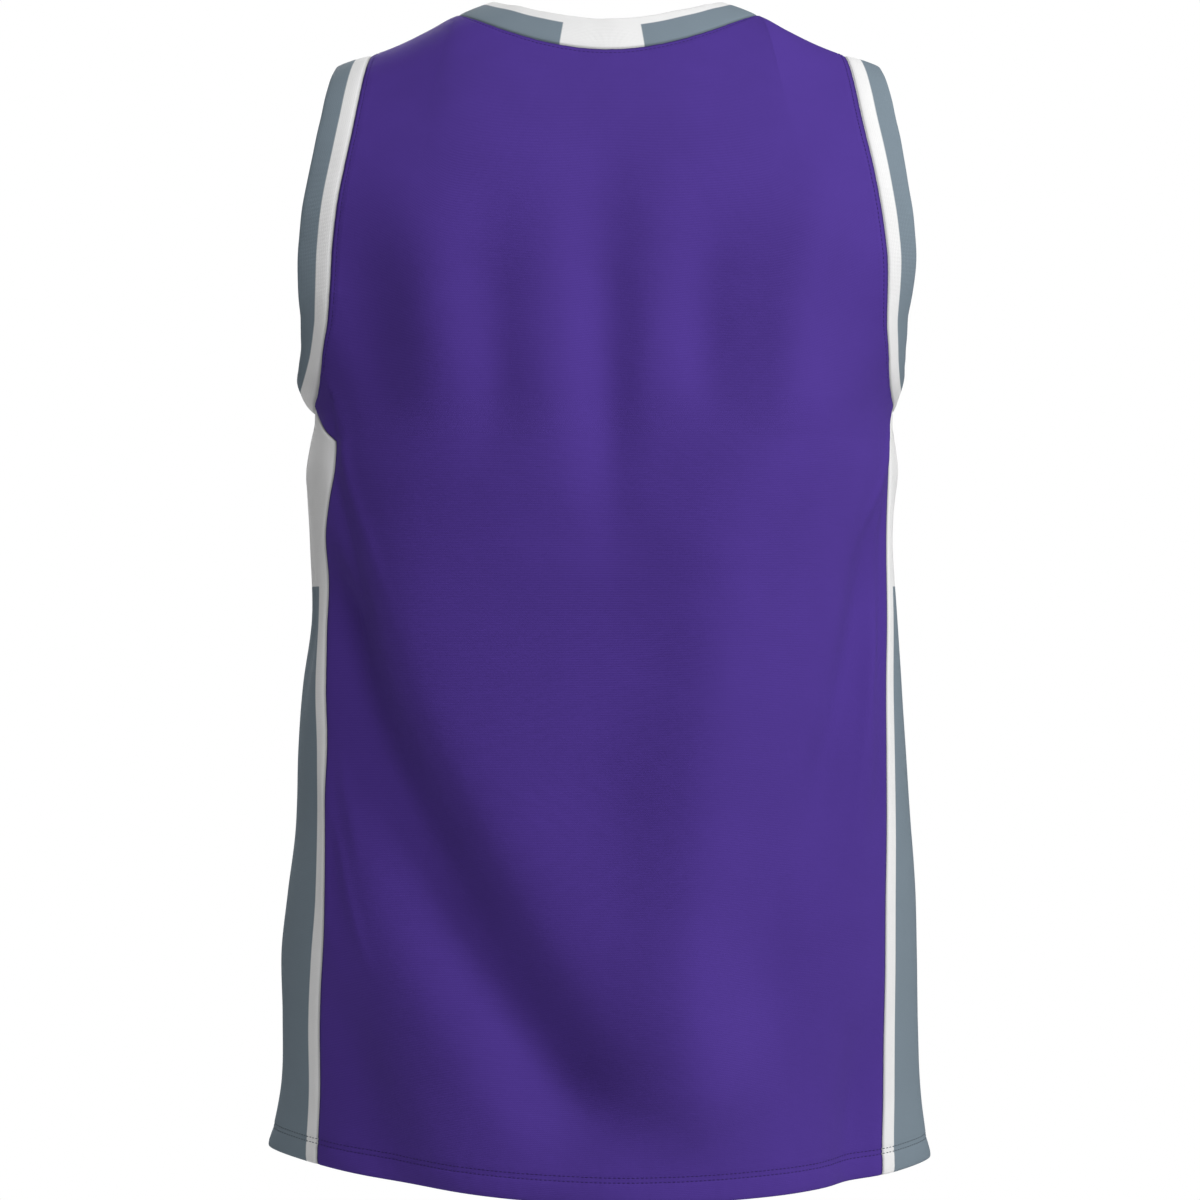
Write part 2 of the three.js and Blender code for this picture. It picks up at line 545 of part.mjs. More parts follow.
function piece(name, geometry, material) {
  const mesh = new THREE.Mesh(geometry, material);
  mesh.name = name;
  return mesh;
}

const jersey = new THREE.Group();
jersey.add(
  piece('back_panel', panel('back'), purple),
  piece('front_panel', panel('front'), purple),
  piece('side_panel_left', sidePanel('left'), white),
  piece('side_panel_right', sidePanel('right'), white),
  piece('neck_rib', neckRib(), white),
  piece('armhole_band_left', armBand('left'), slate),
  piece('armhole_band_right', armBand('right'), slate),
);

export default jersey;
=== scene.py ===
"""A sleeveless basketball jersey, filled out as on a wearer and seen from the back.

Sizes in the tables are millimetres, as a pattern cutter gives them. +X is the wearer's left, -Y the
front and +Z up, and the origin lies midway between the two shoulder straps.
"""
import math
from collections import namedtuple

import bmesh
import bpy
import numpy as np
from bpy.props import FloatProperty, FloatVectorProperty, PointerProperty
from mathutils import Matrix, Vector


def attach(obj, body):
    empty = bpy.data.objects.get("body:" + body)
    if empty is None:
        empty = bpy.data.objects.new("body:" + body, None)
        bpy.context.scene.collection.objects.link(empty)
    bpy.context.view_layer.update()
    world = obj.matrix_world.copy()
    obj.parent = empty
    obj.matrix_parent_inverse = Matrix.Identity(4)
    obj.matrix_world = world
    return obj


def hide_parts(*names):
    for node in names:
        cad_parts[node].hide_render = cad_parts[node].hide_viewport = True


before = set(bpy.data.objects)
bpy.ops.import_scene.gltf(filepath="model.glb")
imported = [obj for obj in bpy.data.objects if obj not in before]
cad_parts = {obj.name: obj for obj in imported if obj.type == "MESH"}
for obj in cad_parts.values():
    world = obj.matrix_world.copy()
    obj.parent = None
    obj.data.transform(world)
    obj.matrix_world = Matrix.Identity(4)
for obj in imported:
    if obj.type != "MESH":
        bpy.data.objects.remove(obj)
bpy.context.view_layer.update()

bl_info = {
    "name": "Basketball Jersey",
    "version": (1, 0, 0),
    "blender": (4, 5, 0),
    "location": "3D View > Sidebar > Jersey",
    "description": "Knit panels, ribs, hems and topstitching of a sleeveless basketball jersey",
    "category": "Object",
}

MM = 0.001

# Sizes of the cut
HEM = -757.0
SIDE_CORNER = -279.0
UNDERARM = -254.0
SHOULDER = 0.0
HEM_TILT = 4.0
HEM_TAIL = 4.0
UNDERARM_DIP = 4.0
NECK_HALF_WIDTH = 103.0
NECK_SIDE_HEIGHT = 12.0
NECK_BACK_HEIGHT = -24.0
NECK_BACK_CURVE = 1.9
NECK_FRONT_HEIGHT = -118.0
NECK_FRONT_CURVE = 3.1
YOKE_ROUND = 2.2
TIP_ANGLE = 11.0
NECK_RIB_WIDTH = 28.0
NECK_RIB_TILT = {"back": 5.0, "front": 4.0, "shoulder": 3.5}
ARM_BAND_WIDTH = 25.0
HEM_WIDTH = 15.5
HEM_STITCHING = (13.0, 16.0)
ARM_BAND_TUCK = {"height": -200.0, "reach": 75.0, "tilt": 9.0}
UNDERARM_ROLL = {"height": -215.0, "reach": 40.0, "tilt": 14.0, "bulge": 4.5, "right_share": 0.3}

# Where the colours change, in metres as the materials read them: the slate blocks' top and their white
# margin, the half width, middle and taper of the block behind the neck, and the stripes' edges
SLATE_TOP = -0.374
SLATE_MARGIN = 0.0105
NECK_BLOCK = 0.0278
NECK_BLOCK_MIDDLE = 0.0041
NECK_BLOCK_TAPER = 0.12
NECK_STRIPE = 0.0195
ARM_STRIPE = 0.0105

# Each piece's cut before it was sewn: width and length, and its flat area
CUTS = {
    "back_panel": ((0.52, 0.78), 0.32),
    "front_panel": ((0.52, 0.72), 0.3),
    "side_panel_left": ((0.14, 0.52), 0.06),
    "side_panel_right": ((0.14, 0.52), 0.06),
    "neck_rib": ((0.754, 0.028), 0.0211),
    "armhole_band_left": ((0.69, 0.025), 0.0172),
    "armhole_band_right": ((0.69, 0.025), 0.0172),
}

# Rings round the body: reaches from the origin, fullness in the middle and at the sides, and how
# far out the back panel's side seams lie.
Level = namedtuple("Level", "height left right back front middle side seam_left seam_right")
LEVELS = [
    Level(-757, 233.0, 220.5, 134, 132, 1.85, 1.3, 192, 182),
    Level(-742, 229.5, 217.5, 132, 130, 1.85, 1.32, 192, 182),
    Level(-710, 225.0, 214.0, 129, 129, 1.87, 1.38, 191, 183),
    Level(-665, 225.0, 212.5, 127, 129, 1.9, 1.5, 191, 183),
    Level(-620, 225.5, 211.5, 125, 129, 1.95, 1.65, 188, 183),
    Level(-580, 220.0, 209.5, 124, 129, 2.0, 1.8, 185, 183),
    Level(-535, 212.0, 205.5, 124, 129, 2.05, 1.9, 185, 184),
    Level(-485, 210.0, 202.0, 125, 130, 2.1, 2.0, 185, 184),
    Level(-440, 207.0, 199.0, 126, 131, 2.15, 2.05, 188.5, 184),
    Level(-395, 201.5, 197.0, 128, 132, 2.2, 2.1, 190, 185),
    Level(-345, 203.0, 194.5, 129, 133, 2.25, 2.15, 187, 185),
    Level(-300, 203.5, 195.5, 130, 133, 2.3, 2.2, 181, 186),
    Level(-254, 198.5, 193.0, 129, 132, 2.35, 2.3, 180, 186),
    Level(-200, 217.0, 213.0, 126, 130, 2.4, 2.4, 180, 186),
    Level(-145, 240.0, 239.0, 126, 128, 2.4, 2.4, 180, 186),
    Level(-70, 260.0, 260.0, 126, 126, 2.4, 2.4, 180, 186),
    Level(0, 268.0, 268.0, 126, 126, 2.4, 2.4, 180, 186),
]

# The top line of the shoulders, by distance from the middle
Crest = namedtuple("Crest", "across height")
CREST = [
    Crest(0, 18.0),
    Crest(60, 17.0),
    Crest(85, 15.4),
    Crest(103, 12.0),
    Crest(120, 3.0),
    Crest(140, -6.8),
    Crest(160, -14.4),
    Crest(175, -18.2),
    Crest(195, -23.2),
    Crest(280, -42.0),
]

# The armhole seam: share of the way up from the underarm, and degrees from the middle of the side
Armhole = namedtuple("Armhole", "rise back front")
ARMHOLE = [
    Armhole(0, 11, 11),
    Armhole(0.025, 18.5, 21),
    Armhole(0.06, 24, 28),
    Armhole(0.12, 29.8, 35.5),
    Armhole(0.22, 36.7, 43.5),
    Armhole(0.45, 45.6, 51.5),
    Armhole(0.72, 52.4, 56.1),
    Armhole(1, 55.7, 55.7),
]

# Folds: bearing in degrees (0 the wearer's left, 90 the back) and height at each end, sideways bow,
# half width, lift (a trough if negative) and the shares of the length over which it fades.
Fold = namedtuple("Fold", "start end bow width lift start_ease end_ease")
FOLDS = [
    # The wearer's left underarm to the middle of the back hem
    Fold((22, -338), (93, -740), 4, 26, -17.5, 0.17, 0.14),
    Fold((39, -322), (121, -721), 25, 40, 6.0, 0.19, 0.23),
    Fold((27, -419), (87, -748), 12, 16, -1.5, 0.28, 0.05),
    Fold((36, -620), (62, -787), 26, 26, -6.5, 0.35, 0.05),
    # The wearer's right of the back, from the underarm down and in
    Fold((143, -202), (102, -441), 19, 37, 13.0, 0.36, 0.36),
    Fold((152, -299), (123, -571), -9, 17, -7.8, 0.33, 0.37),
    Fold((115, -361), (107, -750), 18, 34, 13.5, 0.25, 0.16),
    Fold((122, -540), (117, -691), 2, 28, -4.4, 0.5, 0.41),
    Fold((146, -621), (140, -826), -9, 22, -8.1, 0.5, 0.05),
    Fold((135, -693), (120, -788), 2, 20, 1.5, 0.4, 0.05),
    # Soft upright hollows between the shoulder blades
    Fold((75, -91), (68, -316), 3, 18, -6.3, 0.53, 0.36),
    Fold((90, -41), (91, -382), 3, 17, -8.2, 0.5, 0.43),
    Fold((107, -114), (112, -288), 10, 15, -5.0, 0.45, 0.44),
    Fold((55, -105), (43, -300), 6, 28, -9.5, 0.4, 0.45),
    Fold((56, -60), (56, -271), -14, 15, 1.5, 0.47, 0.45),
    Fold((127, -47), (127, -293), 15, 21, 9.7, 0.46, 0.35),
    # The sides, under the arms and down to the hem
    Fold((8, -300), (14, -480), 4, 18, -4.0, 0.35, 0.4),
    Fold((2, -520), (-8, -775), -6, 22, -5.0, 0.35, 0.05),
    Fold((172, -290), (182, -440), 4, 18, -3.5, 0.35, 0.4),
    Fold((184, -540), (190, -775), 6, 22, -4.5, 0.35, 0.05),
    # The front, drawn from both underarms and open at the hem
    Fold((-28, -290), (-84, -640), -18, 25, -11.0, 0.25, 0.3),
    Fold((-40, -330), (-96, -660), -20, 34, 6.0, 0.3, 0.3),
    Fold((-30, -460), (-62, -775), -12, 23, 6.0, 0.3, 0.05),
    Fold((-36, -600), (-60, -790), -6, 18, -5.5, 0.35, 0.05),
    Fold((210, -300), (258, -600), 16, 23, -9.0, 0.25, 0.35),
    Fold((216, -330), (262, -520), 10, 30, 5.0, 0.3, 0.35),
    Fold((206, -470), (236, -775), 10, 24, 6.0, 0.35, 0.05),
    Fold((214, -590), (232, -790), 4, 20, -5.0, 0.4, 0.05),
    Fold((-80, -560), (-84, -785), -6, 24, -7.5, 0.45, 0.05),
    Fold((256, -500), (262, -780), 8, 22, -6.5, 0.45, 0.05),
    Fold((284, -190), (281, -400), 0, 18, -4.5, 0.4, 0.5),
    Fold((254, -170), (258, -370), 0, 17, -4.0, 0.4, 0.5),
    Fold((236, -150), (229, -300), -4, 20, 3.5, 0.45, 0.45),
    Fold((-58, -140), (-50, -300), 4, 20, 3.5, 0.45, 0.45),
]

# Sharper creases that only the cloth itself shows
CREASES = [
    # The wearer's left of the back
    Fold((27, -228), (52, -415), 0, 4.5, 1.5, 0.1, 0.5),
    Fold((27, -258), (45, -430), 0, 8, -2.4, 0.15, 0.5),
    Fold((27, -461), (36, -643), 4, 8, 2.2, 0.29, 0.39),
    Fold((29, -505), (47, -640), 0, 4.5, 1.1, 0.3, 0.4),
    Fold((31, -455), (42, -570), 2, 5, 0.8, 0.4, 0.4),
    # The wearer's right of the back
    Fold((164, -262), (139, -366), 0, 4.5, 1.2, 0.15, 0.5),
    Fold((158, -287), (149, -471), -3, 7, -2.2, 0.29, 0.49),
    Fold((155, -350), (136, -585), 0, 4.5, 1.1, 0.3, 0.4),
    Fold((151, -359), (141, -591), -3, 8, 2.0, 0.3, 0.49),
    # The front
    Fold((-27, -240), (-54, -410), 0, 5, 1.5, 0.12, 0.5),
    Fold((-28, -270), (-48, -450), 0, 8, -2.2, 0.15, 0.5),
    Fold((-29, -470), (-40, -630), -3, 6, 1.2, 0.3, 0.4),
    Fold((207, -255), (232, -390), 0, 5, 1.4, 0.15, 0.5),
    Fold((209, -290), (226, -480), 3, 8, -2.0, 0.25, 0.5),
    Fold((208, -440), (222, -600), 3, 6, 1.1, 0.3, 0.4),
    # The sides, under the arms
    Fold((4, -262), (16, -330), 1, 5, 1.0, 0.2, 0.5),
    Fold((-9, -262), (-20, -345), -1, 6, -1.1, 0.2, 0.5),
    Fold((178, -262), (168, -325), 1, 5, 1.0, 0.2, 0.5),
    Fold((189, -262), (196, -340), 1, 6, -1.0, 0.2, 0.5),
]
GIRTH_PER_DEGREE = 3.0

# Counts of stations on the fine cloth
BODY_STEPS = 140
GUSSET_STEPS = 8
YOKE_STEPS = 84
YOKE_CROWDING = 1.45
STRAP_STEPS = 20
NECK_STEPS = 112
SIDE_STEPS = 36
SEAM_STEPS = (0.0, 0.9, 1.9, 3.1, 4.6, 6.6)


def mix(a, b, share):
    return a + (b - a) * share


def ease(share):
    share = np.clip(share, 0, 1)
    return share * share * (3 - 2 * share)


def table_at(rows, key, column, at):
    """A table's column at a key, along a smooth curve through its rows."""
    keys = np.array([getattr(row, key) for row in rows], float)
    values = np.array([getattr(row, column) for row in rows], float)
    last = len(keys) - 1
    low = np.searchsorted(keys[1:last], at, side="left")
    high = low + 1
    before = np.maximum(low - 1, 0)
    after = np.minimum(low + 2, last)
    span = keys[high] - keys[low]
    share = np.clip((at - keys[low]) / span, 0, 1)
    slope_low = (values[high] - values[before]) / (keys[high] - keys[before])
    slope_high = (values[after] - values[low]) / (keys[after] - keys[low])
    square = share * share
    cube = square * share
    return (
        (2 * cube - 3 * square + 1) * values[low]
        + (cube - 2 * square + share) * span * slope_low
        + (3 * square - 2 * cube) * values[high]
        + (cube - square) * span * slope_high
    )


def rise_of(climb):
    """Share of the way from underarm to shoulder; climb is 0 at the hem, 1 there and 2 at the crest."""
    return np.sin(np.radians(np.clip(climb - 1, 0, 1) * 90)) ** (2 / YOKE_ROUND)


def height_of(climb):
    return np.where(climb <= 1, mix(HEM, UNDERARM, climb), mix(UNDERARM, SHOULDER, rise_of(climb)))


def climb_of(height):
    return (height - HEM) / (UNDERARM - HEM)


def ring_reach(c, s, middle, side):
    """How far out a ring lies in a direction, where |x| ** middle + |y| ** side is 1."""
    reach = np.ones_like(c)
    for _ in range(8):
        x = (np.abs(c) * reach) ** middle
        y = (np.abs(s) * reach) ** side
        reach = reach - (x + y - 1) * reach / (middle * x + side * y)
    return reach


def ring_angle(share, middle, side):
    return np.degrees(np.arctan2((1 - np.abs(share) ** middle) ** (1 / side), share))


def form_point(bearing, climb):
    """The smooth form that the cloth takes before its folds."""
    height = height_of(climb)
    c = np.cos(np.radians(bearing))
    s = np.sin(np.radians(bearing))

    def level(column):
        return table_at(LEVELS, "height", column, height)

    reach = ring_reach(c, s, level("middle"), level("side"))
    x = c * reach * np.where(c > 0, level("left"), level("right"))
    closing = np.cos(np.radians(np.clip(climb - 1, 0, 1) * 90))
    y = s * reach * np.where(s > 0, level("back"), level("front")) * closing
    yoke = mix(UNDERARM, table_at(CREST, "across", "height", np.abs(x)), rise_of(climb))
    drop = HEM_TILT * c - HEM_TAIL * np.maximum(s, 0) ** 2
    body = height + drop * (1 - np.minimum(climb, 1)) ** 3
    return np.stack([x, y, np.where(climb > 1, yoke, body)], axis=-1)


def fold_lift(fold, bearing, height):
    """How far one fold moves the cloth out of the form."""
    along = (fold.end[0] - fold.start[0]) * GIRTH_PER_DEGREE
    down = fold.end[1] - fold.start[1]
    length = math.hypot(along, down)
    turn = (bearing - fold.start[0] + 540) % 360 - 180
    u = turn * GIRTH_PER_DEGREE
    w = height - fold.start[1]
    share = (u * along + w * down) / (length * length)
    aside = (u * down - w * along) / length - fold.bow * 4 * share * (1 - share)
    fade = ease(share / fold.start_ease) * ease((1 - share) / fold.end_ease)
    inside = (share > 0) & (share < 1)
    return np.where(inside, fold.lift * fade * np.exp(-((aside / fold.width) ** 2)), 0)


def normal_of(surface, bearing, climb):
    high = np.minimum(climb + 0.002, 2)
    low = np.maximum(climb - 0.002, 0)
    up = surface(bearing, high) - surface(bearing, low)
    around = surface(bearing + 0.2, climb) - surface(bearing - 0.2, climb)
    normal = np.cross(around, up)
    return normal / np.linalg.norm(normal, axis=-1, keepdims=True)


def cloth_point(bearing, climb):
    """The form with its folds and creases."""
    height = height_of(climb)
    lift = sum(fold_lift(fold, bearing, height) for fold in FOLDS + CREASES)
    return form_point(bearing, climb) + normal_of(form_point, bearing, climb) * lift[..., None]


def seam_angle(side, face, height):
    """Where a side seam lies; the shirt sits a little turned, so front and back seams differ."""
    reach, seam = ("left", "seam_left") if (side == "left") == (face == "back") else ("right", "seam_right")
    share = table_at(LEVELS, "height", seam, height) / table_at(LEVELS, "height", reach, height)
    middle = table_at(LEVELS, "height", "middle", height)
    return ring_angle(share, middle, table_at(LEVELS, "height", "side", height))


def edge_angle(side, face, climb):
    """A panel's edge, as degrees from the middle of the side, from the hem up to the shoulder."""
    height = height_of(climb)
    corner = seam_angle(side, face, np.float64(SIDE_CORNER))
    gusset = mix(corner, TIP_ANGLE, (height - SIDE_CORNER) / (UNDERARM - SIDE_CORNER))
    seam = seam_angle(side, face, np.minimum(height, SIDE_CORNER))
    armhole = table_at(ARMHOLE, "rise", face, rise_of(climb))
    return np.where(height <= SIDE_CORNER, seam, np.where(climb <= 1, gusset, armhole))


def panel_bearing(face, share, climb):
    left = edge_angle("left", face, climb)
    right = 180 - edge_angle("right", face, climb)
    if face == "front":
        left, right = -left, -right
    return mix(left, right, share)


def neck_height(face, across):
    u = np.minimum(across / NECK_HALF_WIDTH, 1)
    if face == "back":
        return mix(NECK_BACK_HEIGHT, NECK_SIDE_HEIGHT, u**NECK_BACK_CURVE)
    return mix(NECK_FRONT_HEIGHT, NECK_SIDE_HEIGHT, u**NECK_FRONT_CURVE)


def top_share(across):
    """The share of the way across the shoulders at a distance from the middle."""
    angle = ring_angle(across / LEVELS[-1].left, LEVELS[-1].middle, LEVELS[-1].side)
    strap = ARMHOLE[-1].back
    return (angle - strap) / (180 - 2 * strap)


def neck_climb(face, share):
    """The climb at which a share of the way across meets the neckline."""
    low = np.ones_like(share)
    high = np.full_like(share, 2.0)
    for _ in range(34):
        middle = (low + high) / 2
        point = form_point(panel_bearing(face, share, middle), middle)
        under = point[..., 2] < neck_height(face, np.abs(point[..., 0]))
        low = np.where(under, middle, low)
        high = np.where(under, high, middle)
    return low


def seam_crowded(count, length):
    """Shares from 0 to 1 with the close steps of a seam at both ends."""
    ends = np.array(SEAM_STEPS) / length
    inner = np.linspace(ends[-1], 1 - ends[-1], count)
    return np.concatenate([ends[:-1], inner, 1 - ends[:-1][::-1]])


def top_line(face):
    """Share and climb of each column's top: strap, neckline evenly by length, strap."""
    across = NECK_HALF_WIDTH * np.cos(np.linspace(0, math.pi, 361))
    share = top_share(across)
    climb = neck_climb(face, share)
    climb[[0, -1]] = 2
    points = form_point(panel_bearing(face, share, climb), climb)
    run = np.concatenate([[0], np.cumsum(np.linalg.norm(np.diff(points, axis=0), axis=1))])
    even = np.interp(np.linspace(0, run[-1], NECK_STEPS + 1), run, share)
    neck = neck_climb(face, even)
    neck[[0, -1]] = 2
    edge = np.array(SEAM_STEPS) / 62
    strap = np.concatenate([edge[:-1], np.linspace(edge[-1], 1, STRAP_STEPS + 1)[:-1]]) * even[0]
    full = np.full_like(strap, 2.0)
    shares = np.concatenate([strap, even, 1 - strap[::-1]])
    return shares, np.concatenate([full, neck, full])


# The hem from the top of its inner layer, round the fold and up the outside: height above the edge
# and depth behind the outer face.
HemRow = namedtuple("HemRow", "height depth")
HEM_ROWS = [
    HemRow(16.5, 2.3),
    HemRow(12.5, 2.35),
    HemRow(8.5, 2.4),
    HemRow(4.5, 2.4),
    HemRow(1.6, 2.3),
    HemRow(0.5, 2.0),
    HemRow(0.0, 1.5),
    HemRow(-0.15, 1.1),
    HemRow(0.1, 0.6),
    HemRow(0.6, 0.2),
    HemRow(1.5, 0.0),
    HemRow(4.0, 0.0),
    HemRow(7.0, 0.0),
    HemRow(10.0, 0.0),
    HemRow(12.0, 0.0),
    HemRow(13.2, 0.0),
    HemRow(14.5, 0.0),
    HemRow(15.8, 0.0),
    HemRow(17.2, 0.0),
    HemRow(19.5, 0.0),
]


def body_rows():
    """Climbs from the hem up to the underarm, with the gusset's corner on a row."""
    low = climb_of(HEM + np.array([row.height for row in HEM_ROWS]))
    corner = climb_of(SIDE_CORNER)
    body = np.linspace(climb_of(HEM + 23), corner, BODY_STEPS)
    return np.concatenate([low, body, np.linspace(corner, 1, GUSSET_STEPS + 1)[1:]])


BODY_ROWS = body_rows()
DEPTHS = np.array([row.depth for row in HEM_ROWS] + [0.0] * (len(BODY_ROWS) - len(HEM_ROWS)))
FOLDED_ROWS = 9
YOKE = slice(len(BODY_ROWS), None)
YOKE_ROWS = seam_crowded(YOKE_STEPS, 330)[1:] ** YOKE_CROWDING
TOP = {face: top_line(face) for face in ("back", "front")}
FIRST_NECK_COLUMN = len(SEAM_STEPS) - 1 + STRAP_STEPS
NECK_COLUMNS = slice(FIRST_NECK_COLUMN, FIRST_NECK_COLUMN + NECK_STEPS + 1)


def panel_stations(face):
    """Bearing and climb of every station of the back or front, rows from the hem up."""
    shares, tops = TOP[face]
    even = seam_crowded(len(shares) - 2 * (len(SEAM_STEPS) - 1), 430)
    own = 1 + YOKE_ROWS[:, None] * (tops[None, :] - 1)
    climb = np.concatenate([np.repeat(BODY_ROWS[:, None], len(shares), axis=1), own])
    yoke = mix(even[None, :], shares[None, :], ease(YOKE_ROWS)[:, None])
    share = np.concatenate([np.repeat(even[None, :], len(BODY_ROWS), axis=0), yoke])
    return panel_bearing(face, share, climb), climb


def side_stations(side):
    """Bearing and climb of every station of a side panel, from its back seam to its front seam."""
    shares = seam_crowded(SIDE_STEPS, 120)
    climb = np.repeat(BODY_ROWS[:, None], len(shares), axis=1)
    angle = mix(edge_angle(side, "back", climb), -edge_angle(side, "front", climb), shares[None, :])
    dip = (UNDERARM_DIP / (UNDERARM - HEM)) * np.sin(math.pi * shares)[None, :]
    climb = climb - dip * ease((climb - 0.95) / 0.05)
    return (angle if side == "left" else 180 - angle), climb


def run_along(points, axis):
    """Distance of each point from the first one of its line, along the cloth."""
    step = np.linalg.norm(np.diff(points, axis=axis), axis=-1)
    start = np.zeros_like(np.take(step, [0], axis=axis))
    return np.concatenate([start, np.cumsum(step, axis=axis)], axis=axis)


def courses_up(climb):
    """How far up the knit a climb lies, along the cloth beside the middle of the back."""
    line = np.linspace(0, 2, 801)
    run = run_along(form_point(np.full_like(line, 72.0), line)[:, None], 0)[:, 0]
    return np.interp(climb, line, run)


# The relief of the sewing: height over the cloth, or depth if negative, and reach to either side
Relief = namedtuple("Relief", "height reach")
SEAM_REACH = 2.0
HEM_DOUBLED = Relief(0.42, 4.0)
HEM_FURROW = Relief(-0.5, 0.95)
HEM_TROUGH = Relief(-0.3, 2.6)
HEM_ROPING = Relief(0.09, 4.5)
HEM_PUCKER = Relief(0.17, 9.0)
TURNING = Relief(0.4, 3.0)
TOPSTITCH_FURROW = Relief(-0.75, 1.0)
TOPSTITCH_PUCKER = Relief(0.15, 7.0)
ROPING_PITCH = 12.0

# Waves that add up to puckers, and to the ribs' slight unevenness
Wave = namedtuple("Wave", "pitch phase share")
PUCKER_WAVES = [
    Wave(9.5, 1.0, 0.5),
    Wave(14.3, 2.3, 0.455),
    Wave(6.1, 3.7, 0.333),
    Wave(31.0, 5.1, 0.417),
]
RIB_WAVES = [
    Wave(47.0, 0.0, 0.16),
    Wave(29.0, 1.0, 0.12),
]


def unit(vectors):
    return vectors / np.maximum(np.linalg.norm(vectors, axis=-1, keepdims=True), 1e-9)


def across_line(relief, distance):
    """A soft ridge or furrow, full on its line and gone at about twice its reach."""
    return relief.height * np.exp(-((distance / relief.reach) ** 2))


def pucker(along, distance, relief, seed):
    """Uneven ripples along a sewn line, strongest on it."""
    ripples = 0
    for wave in PUCKER_WAVES:
        ripples = ripples + np.sin(along * 2 * math.pi / wave.pitch + seed * wave.phase) * wave.share
    return ripples * across_line(relief, distance)


class Cloth:
    """One cut piece on the shirt: its points, its normals and its distances from its edges."""

    def __init__(self, bearing, climb):
        self.smooth = cloth_point(bearing, climb)
        self.normals = normal_of(cloth_point, bearing, climb)
        self.above = (UNDERARM - HEM) * np.minimum(climb, 1)
        self.across = run_along(self.smooth, 1)
        self.from_top = run_along(self.smooth[::-1], 0)[::-1]
        self.from_left = self.across
        self.from_right = self.across[:, -1:] - self.across
        self.from_side = np.minimum(self.from_left, self.from_right)
        self.from_seam = np.minimum(self.from_side, self.from_top)
        self.up = self.from_top[:1] - self.from_top
        self.courses = courses_up(climb)
        self.middle = self.across.shape[1] // 2

    def shape(self, sizes, neck):
        """Adds the sewing's relief. neck says which columns end at the neckline, if any."""
        lift = across_line(Relief(-sizes.seam_groove / MM, SEAM_REACH), self.from_seam)
        doubled = 1 - ease((self.above - HEM_WIDTH) / HEM_DOUBLED.reach)
        lift += HEM_DOUBLED.height * doubled * ease(self.above / HEM_DOUBLED.reach)
        for height in HEM_STITCHING:
            lift += across_line(HEM_FURROW, self.above - height)
        between = self.above - sum(HEM_STITCHING) / 2
        lift += across_line(HEM_TROUGH, between)
        slant = self.across * 0.9 + self.above * 1.3
        roping = np.sin(slant * 2 * math.pi / ROPING_PITCH)
        lift += roping * across_line(HEM_ROPING, self.above - HEM_WIDTH / 2)
        lift += pucker(self.across, between, HEM_PUCKER, 1)
        inset = sizes.topstitch_inset / MM
        if neck is not None:
            for columns, distance, along, seed in (
                (neck, self.from_top[YOKE], self.across[YOKE], 2),
                (slice(None), self.from_left[YOKE], self.up[YOKE], 3),
                (slice(None), self.from_right[YOKE], self.up[YOKE], 4),
            ):
                away = distance[:, columns]
                raised = TURNING.height * (1 - ease((away - inset) / TURNING.reach))
                furrow = across_line(TOPSTITCH_FURROW, away - inset)
                near = pucker(along[:, columns], away - inset, TOPSTITCH_PUCKER, seed)
                lift[YOKE, columns] += raised + furrow + near
        lift[:FOLDED_ROWS] = lift[FOLDED_ROWS + 1]
        depth = np.zeros(lift.shape[0])
        depth[: len(DEPTHS)] = DEPTHS
        self.points = self.smooth + self.normals * (lift - depth[:, None])[..., None]


def grid_object(name, points, uv, values, outward, closed=False):
    """Cloth through rows of points, with a UV map in metres and one attribute for each value."""
    rows, columns = points.shape[:2]
    bm = bmesh.new()
    bmesh.ops.create_grid(bm, x_segments=columns - 1, y_segments=rows - 1, size=1)
    mesh = bpy.data.meshes.new(name)
    bm.to_mesh(mesh)
    bm.free()
    flat = np.empty(rows * columns * 3)
    mesh.vertices.foreach_get("co", flat)
    flat = flat.reshape(-1, 3)
    r = np.rint((flat[:, 1] + 1) / 2 * (rows - 1)).astype(int)
    c = np.rint((flat[:, 0] + 1) / 2 * (columns - 1)).astype(int)
    mesh.vertices.foreach_set("co", (points[r, c] * MM).ravel())
    corner = np.empty(len(mesh.loops), int)
    mesh.loops.foreach_get("vertex_index", corner)
    layer = mesh.uv_layers.new(name="cloth")
    layer.data.foreach_set("uv", (uv[r[corner], c[corner]] * MM).ravel())
    for value, table in values.items():
        store = mesh.attributes.new(value, "FLOAT", "POINT")
        store.data.foreach_set("value", table[r, c].ravel())
    obj = bpy.data.objects.new(name, mesh)
    bpy.context.scene.collection.objects.link(obj)
    if closed:
        bm = bmesh.new()
        bm.from_mesh(mesh)
        bmesh.ops.remove_doubles(bm, verts=bm.verts[:], dist=2e-6)
        bmesh.ops.recalc_face_normals(bm, faces=bm.faces[:])
        bm.to_mesh(mesh)
        bm.free()
    else:
        mesh.update()
        at = (rows // 2 * (columns - 1)) + columns // 2
        face = mesh.polygons[at]
        near = outward[rows // 2, columns // 2]
        if np.dot(np.array(face.normal), near) < 0:
            mesh.flip_normals()
    mesh.polygons.foreach_set("use_smooth", [True] * len(mesh.polygons))
    mesh.update()
    return obj


def add_thickness(obj, thickness):
    wall = obj.modifiers.new("Cloth thickness", "SOLIDIFY")
    wall.thickness = thickness
    wall.offset = -1
    wall.use_even_offset = False


def dress(obj, material, node, slot, cut, area):
    """Gives a piece its cloth, hangs it from the root and hides the part it stands for."""
    obj.data.materials.append(material)
    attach(obj, "root")
    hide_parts(node)


def smooth_ring(vectors, passes):
    for _ in range(passes):
        vectors = (np.roll(vectors, 1, 0) + 2 * vectors + np.roll(vectors, -1, 0)) / 4
    return vectors


